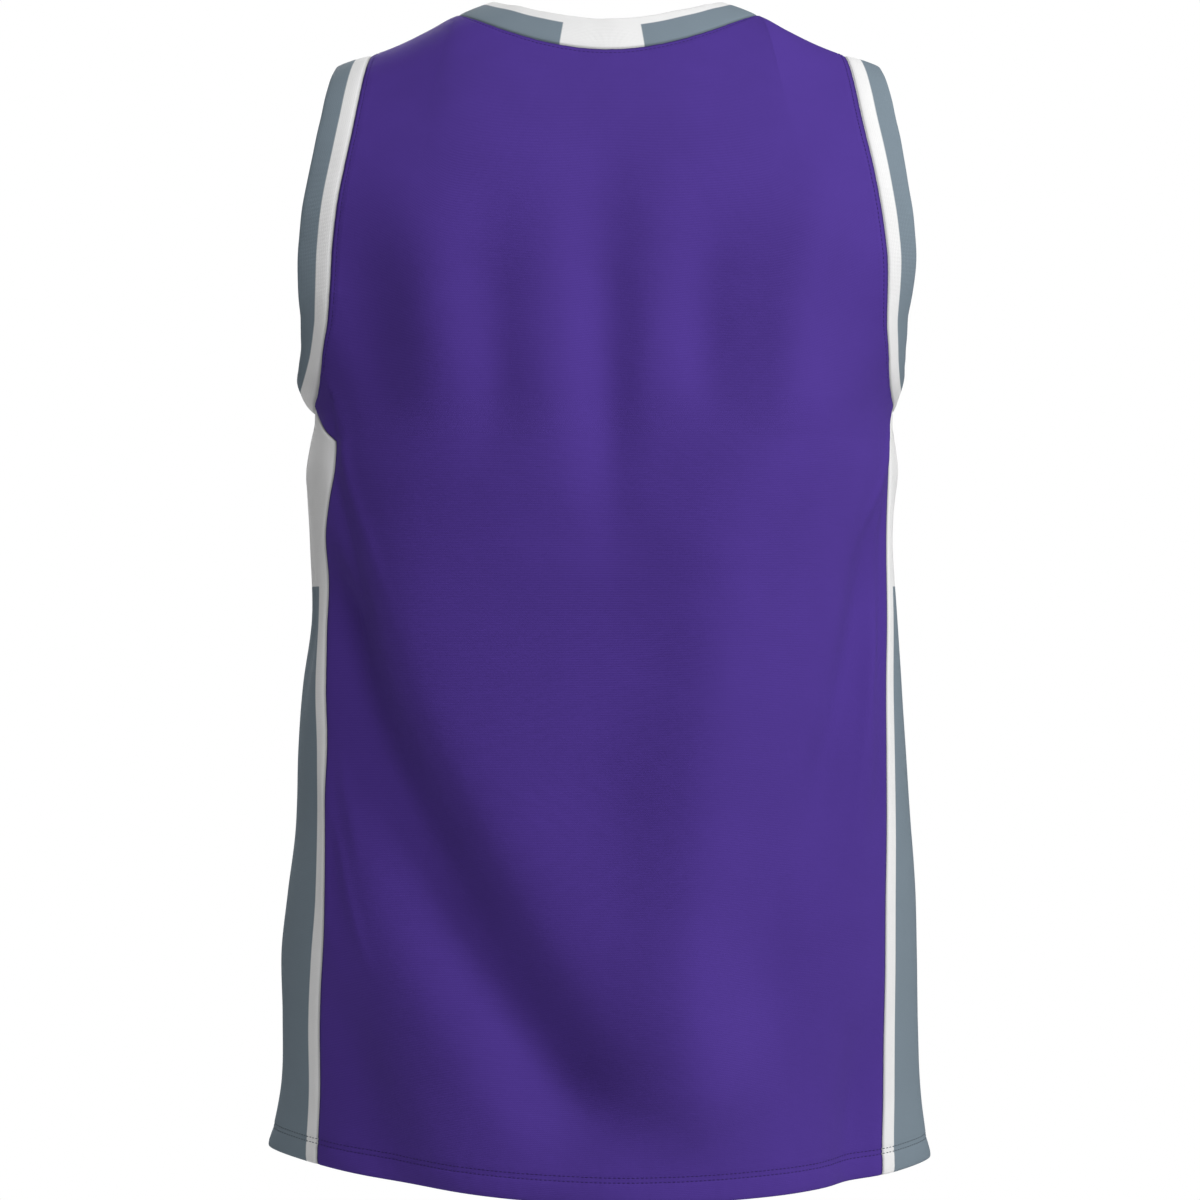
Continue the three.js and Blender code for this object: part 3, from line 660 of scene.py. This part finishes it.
# A rib's section: distance from the seam, and height over the cloth's outer face. It starts under
# the panel's edge, turns round its folded edge and comes back along the inner face.
RIB_START = [(-2.0, -1.35), (-0.7, -1.25), (0.2, -1.05), (0.9, -0.55), (1.8, -0.2), (3.2, -0.02), (5.0, 0.05)]
RIB_EDGE = [(-1.6, 0.0), (-0.6, -0.28), (-0.05, -1.0), (-0.6, -1.75), (-1.6, -2.05)]
RIB_STEPS = 12


def rib_section(width):
    outer = [(d, 0.05) for d in np.linspace(5.0, width - 1.6, RIB_STEPS)[1:-1]]
    inner = [(d, -2.1) for d in np.linspace(width - 1.6, 0.5, RIB_STEPS)[1:]]
    edge = [(width + d, n) for d, n in RIB_EDGE]
    return np.array(RIB_START + outer + edge + inner + [(-2.0, -1.9), RIB_START[0]])


def ring_of(edges):
    """Points and normals round a closed line of cloth edges, each given with its own direction."""
    points = np.concatenate([cloth_point(bearing, climb) for bearing, climb in edges])
    normals = np.concatenate([normal_of(cloth_point, bearing, climb) for bearing, climb in edges])
    return points, normals


def rib_object(name, edges, width, lean_of):
    """A folded strip of rib along a closed line, with its distance from the seam as an attribute."""
    points, normals = ring_of(edges)
    normals = unit(smooth_ring(normals, 6))
    tangent = unit(smooth_ring(np.roll(points, -1, 0) - np.roll(points, 1, 0), 4))
    away = unit(np.cross(tangent, normals))
    middle = points.mean(axis=0)
    if np.sum(away * (middle - points)) < 0:
        away = -away
    away = unit(smooth_ring(away, 6))
    tilt, bulge = lean_of(points)
    section = rib_section(width)
    step = np.linalg.norm(np.roll(points, -1, 0) - points, axis=1)
    along = np.concatenate([[0], np.cumsum(step)])
    loop = np.arange(len(points) + 1) % len(points)
    share = np.clip(section[:, 0] / width, 0, 1)
    reach = section[:, 0][:, None] * np.cos(tilt)[None, :]
    rise = section[:, 0][:, None] * np.sin(tilt)[None, :] * (section[:, 0] > 0)[:, None]
    height = section[:, 1][:, None] + rise + bulge[None, :] * (4 * share * (1 - share))[:, None]
    shape = points[None] + away[None] * reach[..., None] + normals[None] * height[..., None]
    turns = along[:-1] * 2 * math.pi
    uneven = sum(wave.share * np.sin(turns / wave.pitch + wave.phase) for wave in RIB_WAVES)
    shape = shape + normals[None] * (uneven[None, :] * (share**1.5)[:, None])[..., None]
    shape = shape[:, loop]
    distance = np.repeat(section[:, 0][:, None], len(along), axis=1)
    uv = np.stack([np.repeat(along[None, :], len(section), axis=0), distance], axis=-1)
    turned = (np.arange(len(section)) > len(section) // 2).astype(float)
    inside = np.repeat(turned[:, None], len(along), axis=1)
    values = {"from_seam": distance * MM, "round_ring": uv[..., 0] * MM, "inner_face": inside}
    return grid_object(name, shape, uv, values, None, closed=True), along[-1]


def neck_edges():
    edges = []
    for face in ("back", "front"):
        shares, tops = TOP[face]
        share, top = shares[NECK_COLUMNS], tops[NECK_COLUMNS]
        if face == "front":
            share, top = share[::-1][1:-1], top[::-1][1:-1]
        edges.append((panel_bearing(face, share, top), top))
    return edges


def armhole_edges(side):
    climb = 1 + np.concatenate([[0], YOKE_ROWS])
    spot = 0.0 if side == "left" else 1.0
    back = (panel_bearing("back", spot, climb), climb)
    front = (panel_bearing("front", spot, climb)[::-1][1:], climb[::-1][1:])
    bearing, dipped = side_stations(side)
    under = (bearing[-1][::-1][1:-1], dipped[-1][::-1][1:-1])
    return [back, front, under]


def neck_lean(points):
    level = np.where(points[:, 1] > 0, NECK_BACK_HEIGHT, NECK_FRONT_HEIGHT)
    up = np.clip((points[:, 2] - level) / (NECK_SIDE_HEIGHT - level), 0, 1)
    lowest = np.where(points[:, 1] > 0, NECK_RIB_TILT["back"], NECK_RIB_TILT["front"])
    tilt = mix(lowest, NECK_RIB_TILT["shoulder"], up)
    return np.radians(tilt), np.full(len(points), 0.6)


def arm_lean(points):
    tuck = ARM_BAND_TUCK
    low = np.maximum(1 - np.abs(points[:, 2] - tuck["height"]) / tuck["reach"], 0)
    under = ease((UNDERARM_ROLL["height"] - points[:, 2]) / UNDERARM_ROLL["reach"])
    under = under * np.where(points[:, 0] > 0, 1.0, UNDERARM_ROLL["right_share"])
    tilt = UNDERARM_ROLL["tilt"] * under - tuck["tilt"] * ease(low)
    return np.radians(tilt), 0.8 + UNDERARM_ROLL["bulge"] * under


class Value:
    """A number or colour on its way through a material, which sums can be written with."""

    def __init__(self, finish, socket):
        self.finish = finish
        self.socket = socket

    def maths(self, operation, first, second=0.0):
        return self.finish.node("ShaderNodeMath", {"operation": operation}, {0: first, 1: second})[0]

    def __add__(self, other):
        return self.maths("ADD", self, other)

    def __sub__(self, other):
        return self.maths("SUBTRACT", self, other)

    def __rsub__(self, other):
        return self.maths("SUBTRACT", other, self)

    def __mul__(self, other):
        return self.maths("MULTIPLY", self, other)

    def __truediv__(self, other):
        return self.maths("DIVIDE", self, other)

    def __rtruediv__(self, other):
        return self.maths("DIVIDE", other, self)

    def __abs__(self):
        return self.maths("ABSOLUTE", self)

    __radd__ = __add__
    __rmul__ = __mul__

    def sine(self):
        return self.maths("SINE", self)

    def fraction(self):
        return self.maths("FRACT", self)


class Finish:
    """A cloth's material, built up node by node."""

    def __init__(self, name, roughness, sheen):
        self.material = bpy.data.materials.new(name)
        self.material.use_nodes = True
        self.tree = self.material.node_tree
        self.surface = next(n for n in self.tree.nodes if n.type == "BSDF_PRINCIPLED")
        self.surface.inputs["Roughness"].default_value = roughness
        self.surface.inputs["Specular IOR Level"].default_value = 0.1
        self.surface.inputs["Sheen Weight"].default_value = sheen
        self.surface.inputs["Sheen Roughness"].default_value = 0.45

    def node(self, kind, settings=None, inputs=None):
        """Adds a node with its settings, then its inputs, and returns its outputs."""
        node = self.tree.nodes.new(kind)
        for name, value in (settings or {}).items():
            setattr(node, name, value)
        for key, value in (inputs or {}).items():
            known = {socket.identifier: socket for socket in node.inputs}
            socket = node.inputs[key] if isinstance(key, int) else known[key]
            if isinstance(value, Value):
                self.tree.links.new(value.socket, socket)
            else:
                socket.default_value = value
        return [Value(self, socket) for socket in node.outputs if socket.enabled]

    def parts(self, vector):
        return self.node("ShaderNodeSeparateXYZ", None, {0: vector})

    def place(self):
        """The point on the object, in metres."""
        return self.node("ShaderNodeTexCoord")[3]

    def cloth(self):
        """The point along and up the piece of cloth, in metres."""
        return self.parts(self.node("ShaderNodeUVMap", {"uv_map": "cloth"})[0])[:2]

    def attribute(self, name):
        return self.node("ShaderNodeAttribute", {"attribute_name": name})[2]

    def step(self, value, low, high):
        """0 below low and 1 above high, smooth between."""
        settings = {"interpolation_type": "SMOOTHSTEP"}
        inputs = {"Value": value, "From Min": low, "From Max": high}
        return self.node("ShaderNodeMapRange", settings, inputs)[0]

    def past(self, value, place, soft=0.0005):
        """0 below a place and 1 above it, with a soft edge as wide as the yarn lets the colours run."""
        return self.step(value, place - soft, place + soft)

    def noise(self, vector, scale, detail):
        return self.node("ShaderNodeTexNoise", None, {"Vector": vector, "Scale": scale, "Detail": detail})[0]

    def blend(self, share, a, b, kind="MIX"):
        settings = {"data_type": "RGBA", "blend_type": kind}
        return self.node("ShaderNodeMix", settings, {"Factor_Float": share, "A_Color": a, "B_Color": b})[0]

    def finish(self, colour, height, depth):
        """Joins the colour and the relief to the surface."""
        self.tree.links.new(colour.socket, self.surface.inputs["Base Color"])
        bump = self.node("ShaderNodeBump", None, {"Strength": 1.0, "Distance": depth, "Height": height})
        self.tree.links.new(bump[0].socket, self.surface.inputs["Normal"])
        return self.material


def opaque(colour):
    return (*colour, 1.0)


def shaded(colour, share):
    return tuple(part * share for part in colour) + (1.0,)


def knit_height(along, up, wale, course):
    """The loops of a plain knit: upright wales of slanting pairs of legs."""
    turn = 2 * math.pi
    aside = abs((along / wale).fraction() - 0.5)
    legs = (aside * turn).sine()
    loops = ((up / course + aside * 1.1) * turn).sine()
    return abs(legs) * (0.7 + loops * 0.3)


# How fine the noise is that crumples the cloth, and the one that makes its yarn uneven
CRUMPLE_SCALE = 42.0
SLUB_SCALE = 900.0


def knit_material(name, colours, knit, marks):
    """A plain knit; marks paints its colour from the cloth's own coordinates."""
    finish = Finish(name, knit.roughness, knit.sheen)
    along, up = finish.cloth()
    place = finish.place()
    loops = knit_height(along, up, knit.wale, knit.course)
    crumple = finish.noise(place, CRUMPLE_SCALE, 3.0)
    slub = finish.noise(place, SLUB_SCALE, 2.0)
    colour = marks(finish, colours)
    # Painted shade: within about 2 mm of a seam the colour is multiplied towards near black, down to a little
    # over half its brightness, for the shadow in the seam's groove.
    seam = finish.attribute("from_seam")
    clear_of_seam_shade = finish.step(seam, 0.0002, 0.0022)
    colour = finish.blend((1 - clear_of_seam_shade) * 0.45, colour, (0.02, 0.02, 0.03, 1.0), "MULTIPLY")
    tone = 0.93 + loops * 0.09 + crumple * 0.06
    tint = finish.node("ShaderNodeCombineColor", None, {0: tone, 1: tone, 2: tone})[0]
    colour = finish.blend(1.0, colour, tint, "MULTIPLY")
    height = loops * 0.55 + slub * 0.12 + crumple * 1.6
    return finish.finish(colour, height, knit.relief)


def purple_marks(finish, colours):
    patch = finish.noise(finish.place(), 11.0, 2.0)
    return finish.blend(finish.step(patch, 0.3, 0.7), shaded(colours.body, 0.97), shaded(colours.body, 1.03))


def side_marks(finish, colours):
    """White with a slate block below, inside a white margin along the seams."""
    height = finish.parts(finish.place())[2]
    low = 1 - finish.past(height, SLATE_TOP)
    inner = finish.past(finish.attribute("from_seam"), SLATE_MARGIN, 0.0004)
    return finish.blend(low * inner, opaque(colours.light), opaque(colours.grey))


def neck_marks(finish, colours):
    """White with a slate stripe along the seam, which stops at a white block behind the neck."""
    seam = finish.attribute("from_seam")
    x = abs(finish.parts(finish.place())[0] - NECK_BLOCK_MIDDLE)
    behind = finish.step(finish.parts(finish.place())[1], 0.0, 0.002)
    block = 1 - finish.past(x + seam * NECK_BLOCK_TAPER, NECK_BLOCK)
    stripe = 1 - finish.past(seam, NECK_STRIPE)
    inside = finish.attribute("inner_face")
    slate = stripe * (1 - block * behind) * (1 - inside)
    return finish.blend(slate, opaque(colours.light), opaque(colours.grey))


def arm_marks(finish, colours):
    """White beside the body, slate towards the folded edge."""
    seam = finish.attribute("from_seam")
    slate = finish.past(seam, ARM_STRIPE)
    return finish.blend(slate, opaque(colours.light), opaque(colours.grey))


def thread_material(name, colour):
    finish = Finish(name, 0.6, 0.02)
    place = finish.place()
    twist = finish.noise(place, 2600.0, 1.0)
    # The thread is drawn at 0.42 to 0.56 of its yarn's colour: partly a darker thread, and partly painted
    # shade for the shadows in and round the stitches.
    tone = finish.blend(twist, shaded(colour, 0.42), shaded(colour, 0.56))
    return finish.finish(tone, twist, 0.0001)


Knit = namedtuple("Knit", "wale course roughness sheen relief")
BODY_KNIT = Knit(0.0013, 0.0011, 0.75, 0.015, 0.00022)
SIDE_KNIT = Knit(0.0013, 0.0011, 0.8, 0.02, 0.00018)
RIB_KNIT = Knit(0.0017, 0.0013, 0.8, 0.02, 0.0003)

# How far a stitch looks to either side for its direction, and how high its thread lies
STITCH_SIGHT = 0.6
THREAD_RISE = 0.08


def line_points(points, normals, distance, at, axis):
    """Where lines of the grid are a distance from an edge, with the normals there."""
    if axis == 1:
        points, normals = points.swapaxes(0, 1), normals.swapaxes(0, 1)
        distance = distance.T
    found, facing = [], []
    for k in range(points.shape[1]):
        away = distance[:, k]
        order = np.argsort(away)
        place = [np.interp(at, away[order], points[order, k, i]) for i in range(3)]
        normal = [np.interp(at, away[order], normals[order, k, i]) for i in range(3)]
        found.append(place)
        facing.append(normal)
    return np.array(found), unit(np.array(facing))


def stitch_matrices(points, normals, sizes):
    """Places stitches end to end along a line on the cloth."""
    run = np.concatenate([[0], np.cumsum(np.linalg.norm(np.diff(points, axis=0), axis=1))])
    pitch = sizes.stitch_pitch / MM
    length = sizes.stitch_length / MM
    count = max(int(run[-1] / pitch), 1)
    at = (np.arange(count) + 0.5) * run[-1] / count
    centre = np.stack([np.interp(at, run, points[:, i]) for i in range(3)], axis=1)
    ahead = np.stack([np.interp(at + STITCH_SIGHT, run, points[:, i]) for i in range(3)], axis=1)
    behind = np.stack([np.interp(at - STITCH_SIGHT, run, points[:, i]) for i in range(3)], axis=1)
    normal = unit(np.stack([np.interp(at, run, normals[:, i]) for i in range(3)], axis=1))
    tangent = unit(ahead - behind)
    side = unit(np.cross(normal, tangent))
    width = sizes.thread_width / MM
    matrices = []
    for k in range(count):
        place = (centre[k] + normal[k] * THREAD_RISE) * MM
        columns = (tangent[k] * length / 2 * MM, side[k] * width / 2 * MM, normal[k] * width / 2.4 * MM)
        matrix = Matrix.Identity(4)
        for i, column in enumerate(columns):
            for j in range(3):
                matrix[j][i] = column[j]
        matrix.translation = Vector(place)
        matrices.append(matrix)
    return matrices


def stitch_object(name, matrices, material):
    mesh = bpy.data.meshes.new(name)
    whole = bmesh.new()
    turn = Matrix.Rotation(math.radians(90), 4, "Y")
    batch = 40
    for start in range(0, len(matrices), batch):
        bm = bmesh.new()
        for matrix in matrices[start : start + batch]:
            bmesh.ops.create_uvsphere(bm, u_segments=5, v_segments=3, radius=1, matrix=matrix @ turn)
        bmesh.ops.recalc_face_normals(bm, faces=bm.faces[:])
        bm.to_mesh(mesh)
        bm.free()
        whole.from_mesh(mesh)
    whole.to_mesh(mesh)
    whole.free()
    mesh.polygons.foreach_set("use_smooth", [True] * len(mesh.polygons))
    obj = bpy.data.objects.new(name, mesh)
    bpy.context.scene.collection.objects.link(obj)
    mesh.materials.append(material)
    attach(obj, "root")
    return obj


# The cloth of the panels made so far, which the topstitching follows
PANELS = {}


def cloth_object(name, cloth, from_seam, thickness):
    """A piece of cloth with its thickness, its knit running up from the middle of each row."""
    u = cloth.across - cloth.across[:, cloth.middle][:, None]
    uv = np.stack([u, cloth.courses], axis=-1)
    obj = grid_object(name, cloth.points, uv, {"from_seam": from_seam * MM}, cloth.normals)
    add_thickness(obj, thickness)
    return obj


def make_panel(face, sizes, colours):
    cloth = Cloth(*panel_stations(face))
    cloth.shape(sizes, NECK_COLUMNS)
    obj = cloth_object(f"{face}_cloth", cloth, cloth.from_seam, sizes.cloth)
    material = knit_material(f"Purple knit, {face}", colours, BODY_KNIT, purple_marks)
    dress(obj, material, f"{face}_panel", "body_knit", *CUTS[f"{face}_panel"])
    PANELS[face] = cloth


def make_side(side, sizes, colours):
    cloth = Cloth(*side_stations(side))
    cloth.shape(sizes, None)
    obj = cloth_object(f"side_cloth_{side}", cloth, cloth.from_side, sizes.cloth)
    material = knit_material(f"Side knit, {side}", colours, SIDE_KNIT, side_marks)
    dress(obj, material, f"side_panel_{side}", "side_knit", *CUTS[f"side_panel_{side}"])
    PANELS[side] = cloth


# The yarns' colours, in linear light
BODY_COLOUR = (0.067, 0.032, 0.245)
LIGHT_COLOUR = (0.76, 0.76, 0.76)
GREY_COLOUR = (0.176, 0.223, 0.262)

# The stage: the lens in millimetres, places in metres
CAMERA_LENS = 72.8
CAMERA_PLACE = (0.0054, 1.65, -0.383)
FLOOR_HEIGHT = -1.45
FLOOR_RADIUS = 2.2
SURROUND_STRENGTH = 0.115

# The lamps' places and sizes in metres and their power in watts; all of them face the body's middle
Lamp = namedtuple("Lamp", "name place size energy")
LAMP_AIM = (0.0, 0.0, -0.38)
LAMPS = [
    Lamp("Key light", (-2.63, 1.755, 1.13), 0.95, 80.0),
    Lamp("Top light", (-0.42, 1.96, 1.58), 1.0, 40.0),
    Lamp("Fill light", (2.7, 0.15, 0.0), 1.4, 8.0),
    Lamp("Front light", (0.9, -2.3, 0.9), 1.6, 55.0),
]


class JerseySizes(bpy.types.PropertyGroup):
    """Sizes of the cloth and its sewing."""

    cloth: FloatProperty(
        name="Cloth", description="Thickness of the knit", default=0.001, min=0.0003, unit="LENGTH"
    )
    seam_groove: FloatProperty(
        name="Seam groove", description="How far the cloth sinks at a seam", default=0.0009, unit="LENGTH"
    )
    topstitch_inset: FloatProperty(
        name="Topstitch inset", description="From the seam to the topstitching", default=0.0035, unit="LENGTH"
    )
    stitch_length: FloatProperty(
        name="Stitch", description="Visible length of a stitch", default=0.0022, unit="LENGTH"
    )
    stitch_pitch: FloatProperty(
        name="Stitch pitch", description="From one stitch to the next", default=0.0029, unit="LENGTH"
    )
    thread_width: FloatProperty(
        name="Thread", description="Width of the thread", default=0.0006, unit="LENGTH"
    )


class JerseyColours(bpy.types.PropertyGroup):
    """Colours of the yarns."""

    body: FloatVectorProperty(
        name="Body", description="Front and back", size=3, subtype="COLOR", default=BODY_COLOUR
    )
    light: FloatVectorProperty(
        name="White", description="Sides and trim", size=3, subtype="COLOR", default=LIGHT_COLOUR
    )
    grey: FloatVectorProperty(
        name="Slate", description="Stripes and blocks", size=3, subtype="COLOR", default=GREY_COLOUR
    )


class JERSEY_OT_panels(bpy.types.Operator):
    """Makes the purple front and back"""

    bl_idname = "jersey.panels"
    bl_label = "Front and back"

    def execute(self, context):
        for face in ("back", "front"):
            make_panel(face, context.scene.jersey_sizes, context.scene.jersey_colours)
        return {"FINISHED"}


class JERSEY_OT_sides(bpy.types.Operator):
    """Makes the white side panels with their slate blocks"""

    bl_idname = "jersey.sides"
    bl_label = "Side panels"

    def execute(self, context):
        for side in ("left", "right"):
            make_side(side, context.scene.jersey_sizes, context.scene.jersey_colours)
        return {"FINISHED"}


class JERSEY_OT_neck_rib(bpy.types.Operator):
    """Makes the folded rib round the neck"""

    bl_idname = "jersey.neck_rib"
    bl_label = "Neck rib"

    def execute(self, context):
        obj, _ = rib_object("neck_trim", neck_edges(), NECK_RIB_WIDTH, neck_lean)
        material = knit_material("Neck rib knit", context.scene.jersey_colours, RIB_KNIT, neck_marks)
        dress(obj, material, "neck_rib", "neck_knit", *CUTS["neck_rib"])
        return {"FINISHED"}


class JERSEY_OT_armhole_bands(bpy.types.Operator):
    """Makes the two folded bands round the armholes"""

    bl_idname = "jersey.armhole_bands"
    bl_label = "Armhole bands"

    def execute(self, context):
        for side in ("left", "right"):
            obj, _ = rib_object(f"armhole_trim_{side}", armhole_edges(side), ARM_BAND_WIDTH, arm_lean)
            colours = context.scene.jersey_colours
            material = knit_material(f"Armhole knit, {side}", colours, RIB_KNIT, arm_marks)
            dress(obj, material, f"armhole_band_{side}", "armhole_knit", *CUTS[f"armhole_band_{side}"])
        return {"FINISHED"}


class JERSEY_OT_topstitching(bpy.types.Operator):
    """Sews the topstitching along the neck, the armholes and the hem"""

    bl_idname = "jersey.topstitching"
    bl_label = "Topstitching"

    def execute(self, context):
        if len(PANELS) < 4:
            raise RuntimeError("The panels have to be made before they are sewn")
        sizes = context.scene.jersey_sizes
        inset = sizes.topstitch_inset / MM
        purple = thread_material("Purple thread", context.scene.jersey_colours.body)
        grey = thread_material("Slate thread", context.scene.jersey_colours.grey)
        for key, cloth in PANELS.items():
            points, normals = cloth.points, cloth.normals
            lines = []
            outside = slice(FOLDED_ROWS + 1, FOLDED_ROWS + 30)
            for height in HEM_STITCHING:
                lines.append(line_points(points[outside], normals[outside], cloth.above[outside], height, 0))
            if key in ("back", "front"):
                neck = (YOKE, NECK_COLUMNS)
                lines.append(line_points(points[neck], normals[neck], cloth.from_top[neck], inset, 0))
                for distance in (cloth.from_left, cloth.from_right):
                    lines.append(line_points(points[YOKE], normals[YOKE], distance[YOKE], inset, 1))
            matrices = []
            for line, facing in lines:
                matrices += stitch_matrices(line, facing, sizes)
            thread, slot = (purple, "body_knit") if key in ("back", "front") else (grey, "side_knit")
            stitch_object(f"stitches_{key}", matrices, thread)
        return {"FINISHED"}


class JERSEY_OT_stage(bpy.types.Operator):
    """Sets the camera, the soft lights and the pale floor"""

    bl_idname = "jersey.stage"
    bl_label = "Camera, lights and floor"

    def execute(self, context):
        scene = context.scene
        scene.view_settings.view_transform = "Standard"
        camera = bpy.data.objects.new("Camera", bpy.data.cameras.new("Camera"))
        camera.data.lens = CAMERA_LENS
        camera.data.sensor_width = 36
        camera.location = CAMERA_PLACE
        camera.rotation_euler = (math.radians(90), 0, math.radians(180))
        scene.collection.objects.link(camera)
        scene.camera = camera
        for lamp in LAMPS:
            light = bpy.data.objects.new(lamp.name, bpy.data.lights.new(lamp.name, "AREA"))
            light.data.shape = "DISK"
            light.data.size = lamp.size
            light.data.energy = lamp.energy
            light.location = lamp.place
            aim = Vector(LAMP_AIM) - Vector(lamp.place)
            light.rotation_euler = aim.to_track_quat("-Z", "Y").to_euler()
            scene.collection.objects.link(light)
        world = bpy.data.worlds.new("Studio")
        world.use_nodes = True
        nodes, links = world.node_tree.nodes, world.node_tree.links
        seen, around = nodes["Background"], nodes.new("ShaderNodeBackground")
        seen.inputs["Color"].default_value = (1, 1, 1, 1)
        seen.inputs["Strength"].default_value = 1.0
        around.inputs["Color"].default_value = (1, 1, 1, 1)
        around.inputs["Strength"].default_value = SURROUND_STRENGTH
        path, choose = nodes.new("ShaderNodeLightPath"), nodes.new("ShaderNodeMixShader")
        links.new(path.outputs["Is Camera Ray"], choose.inputs[0])
        links.new(around.outputs[0], choose.inputs[1])
        links.new(seen.outputs[0], choose.inputs[2])
        links.new(choose.outputs[0], nodes["World Output"].inputs["Surface"])
        scene.world = world
        bm = bmesh.new()
        place = Matrix.Translation((0, 0, FLOOR_HEIGHT))
        bmesh.ops.create_circle(bm, cap_ends=True, segments=96, radius=FLOOR_RADIUS, matrix=place)
        mesh = bpy.data.meshes.new("floor")
        bm.to_mesh(mesh)
        bm.free()
        floor = bpy.data.objects.new("floor", mesh)
        scene.collection.objects.link(floor)
        finish = Finish("Pale floor", 0.9, 0.0)
        grain = finish.noise(finish.place(), 3.0, 2.0)
        tone = finish.blend(grain, (0.82, 0.82, 0.82, 1), (0.86, 0.86, 0.86, 1))
        mesh.materials.append(finish.finish(tone, grain, 0.0001))
        return {"FINISHED"}


class JERSEY_PT_sidebar(bpy.types.Panel):
    """Lists the jersey's sizes, colours and pieces"""

    bl_idname = "JERSEY_PT_sidebar"
    bl_label = "Jersey"
    bl_space_type = "VIEW_3D"
    bl_region_type = "UI"
    bl_category = "Jersey"

    def draw(self, context):
        for group in (context.scene.jersey_sizes, context.scene.jersey_colours):
            for name in group.__annotations__:
                self.layout.prop(group, name)
        for operator in STEPS:
            self.layout.operator(operator.bl_idname)


STEPS = (
    JERSEY_OT_panels,
    JERSEY_OT_sides,
    JERSEY_OT_neck_rib,
    JERSEY_OT_armhole_bands,
    JERSEY_OT_topstitching,
    JERSEY_OT_stage,
)
CLASSES = (JerseySizes, JerseyColours, *STEPS, JERSEY_PT_sidebar)


def register():
    for item in CLASSES:
        bpy.utils.register_class(item)
    bpy.types.Scene.jersey_sizes = PointerProperty(type=JerseySizes)
    bpy.types.Scene.jersey_colours = PointerProperty(type=JerseyColours)


def unregister():
    del bpy.types.Scene.jersey_colours
    del bpy.types.Scene.jersey_sizes
    for item in reversed(CLASSES):
        bpy.utils.unregister_class(item)


def main():
    register()
    bpy.ops.jersey.panels()
    bpy.ops.jersey.sides()
    bpy.ops.jersey.neck_rib()
    bpy.ops.jersey.armhole_bands()
    bpy.ops.jersey.topstitching()
    bpy.ops.jersey.stage()


if __name__ == "__main__":
    main()
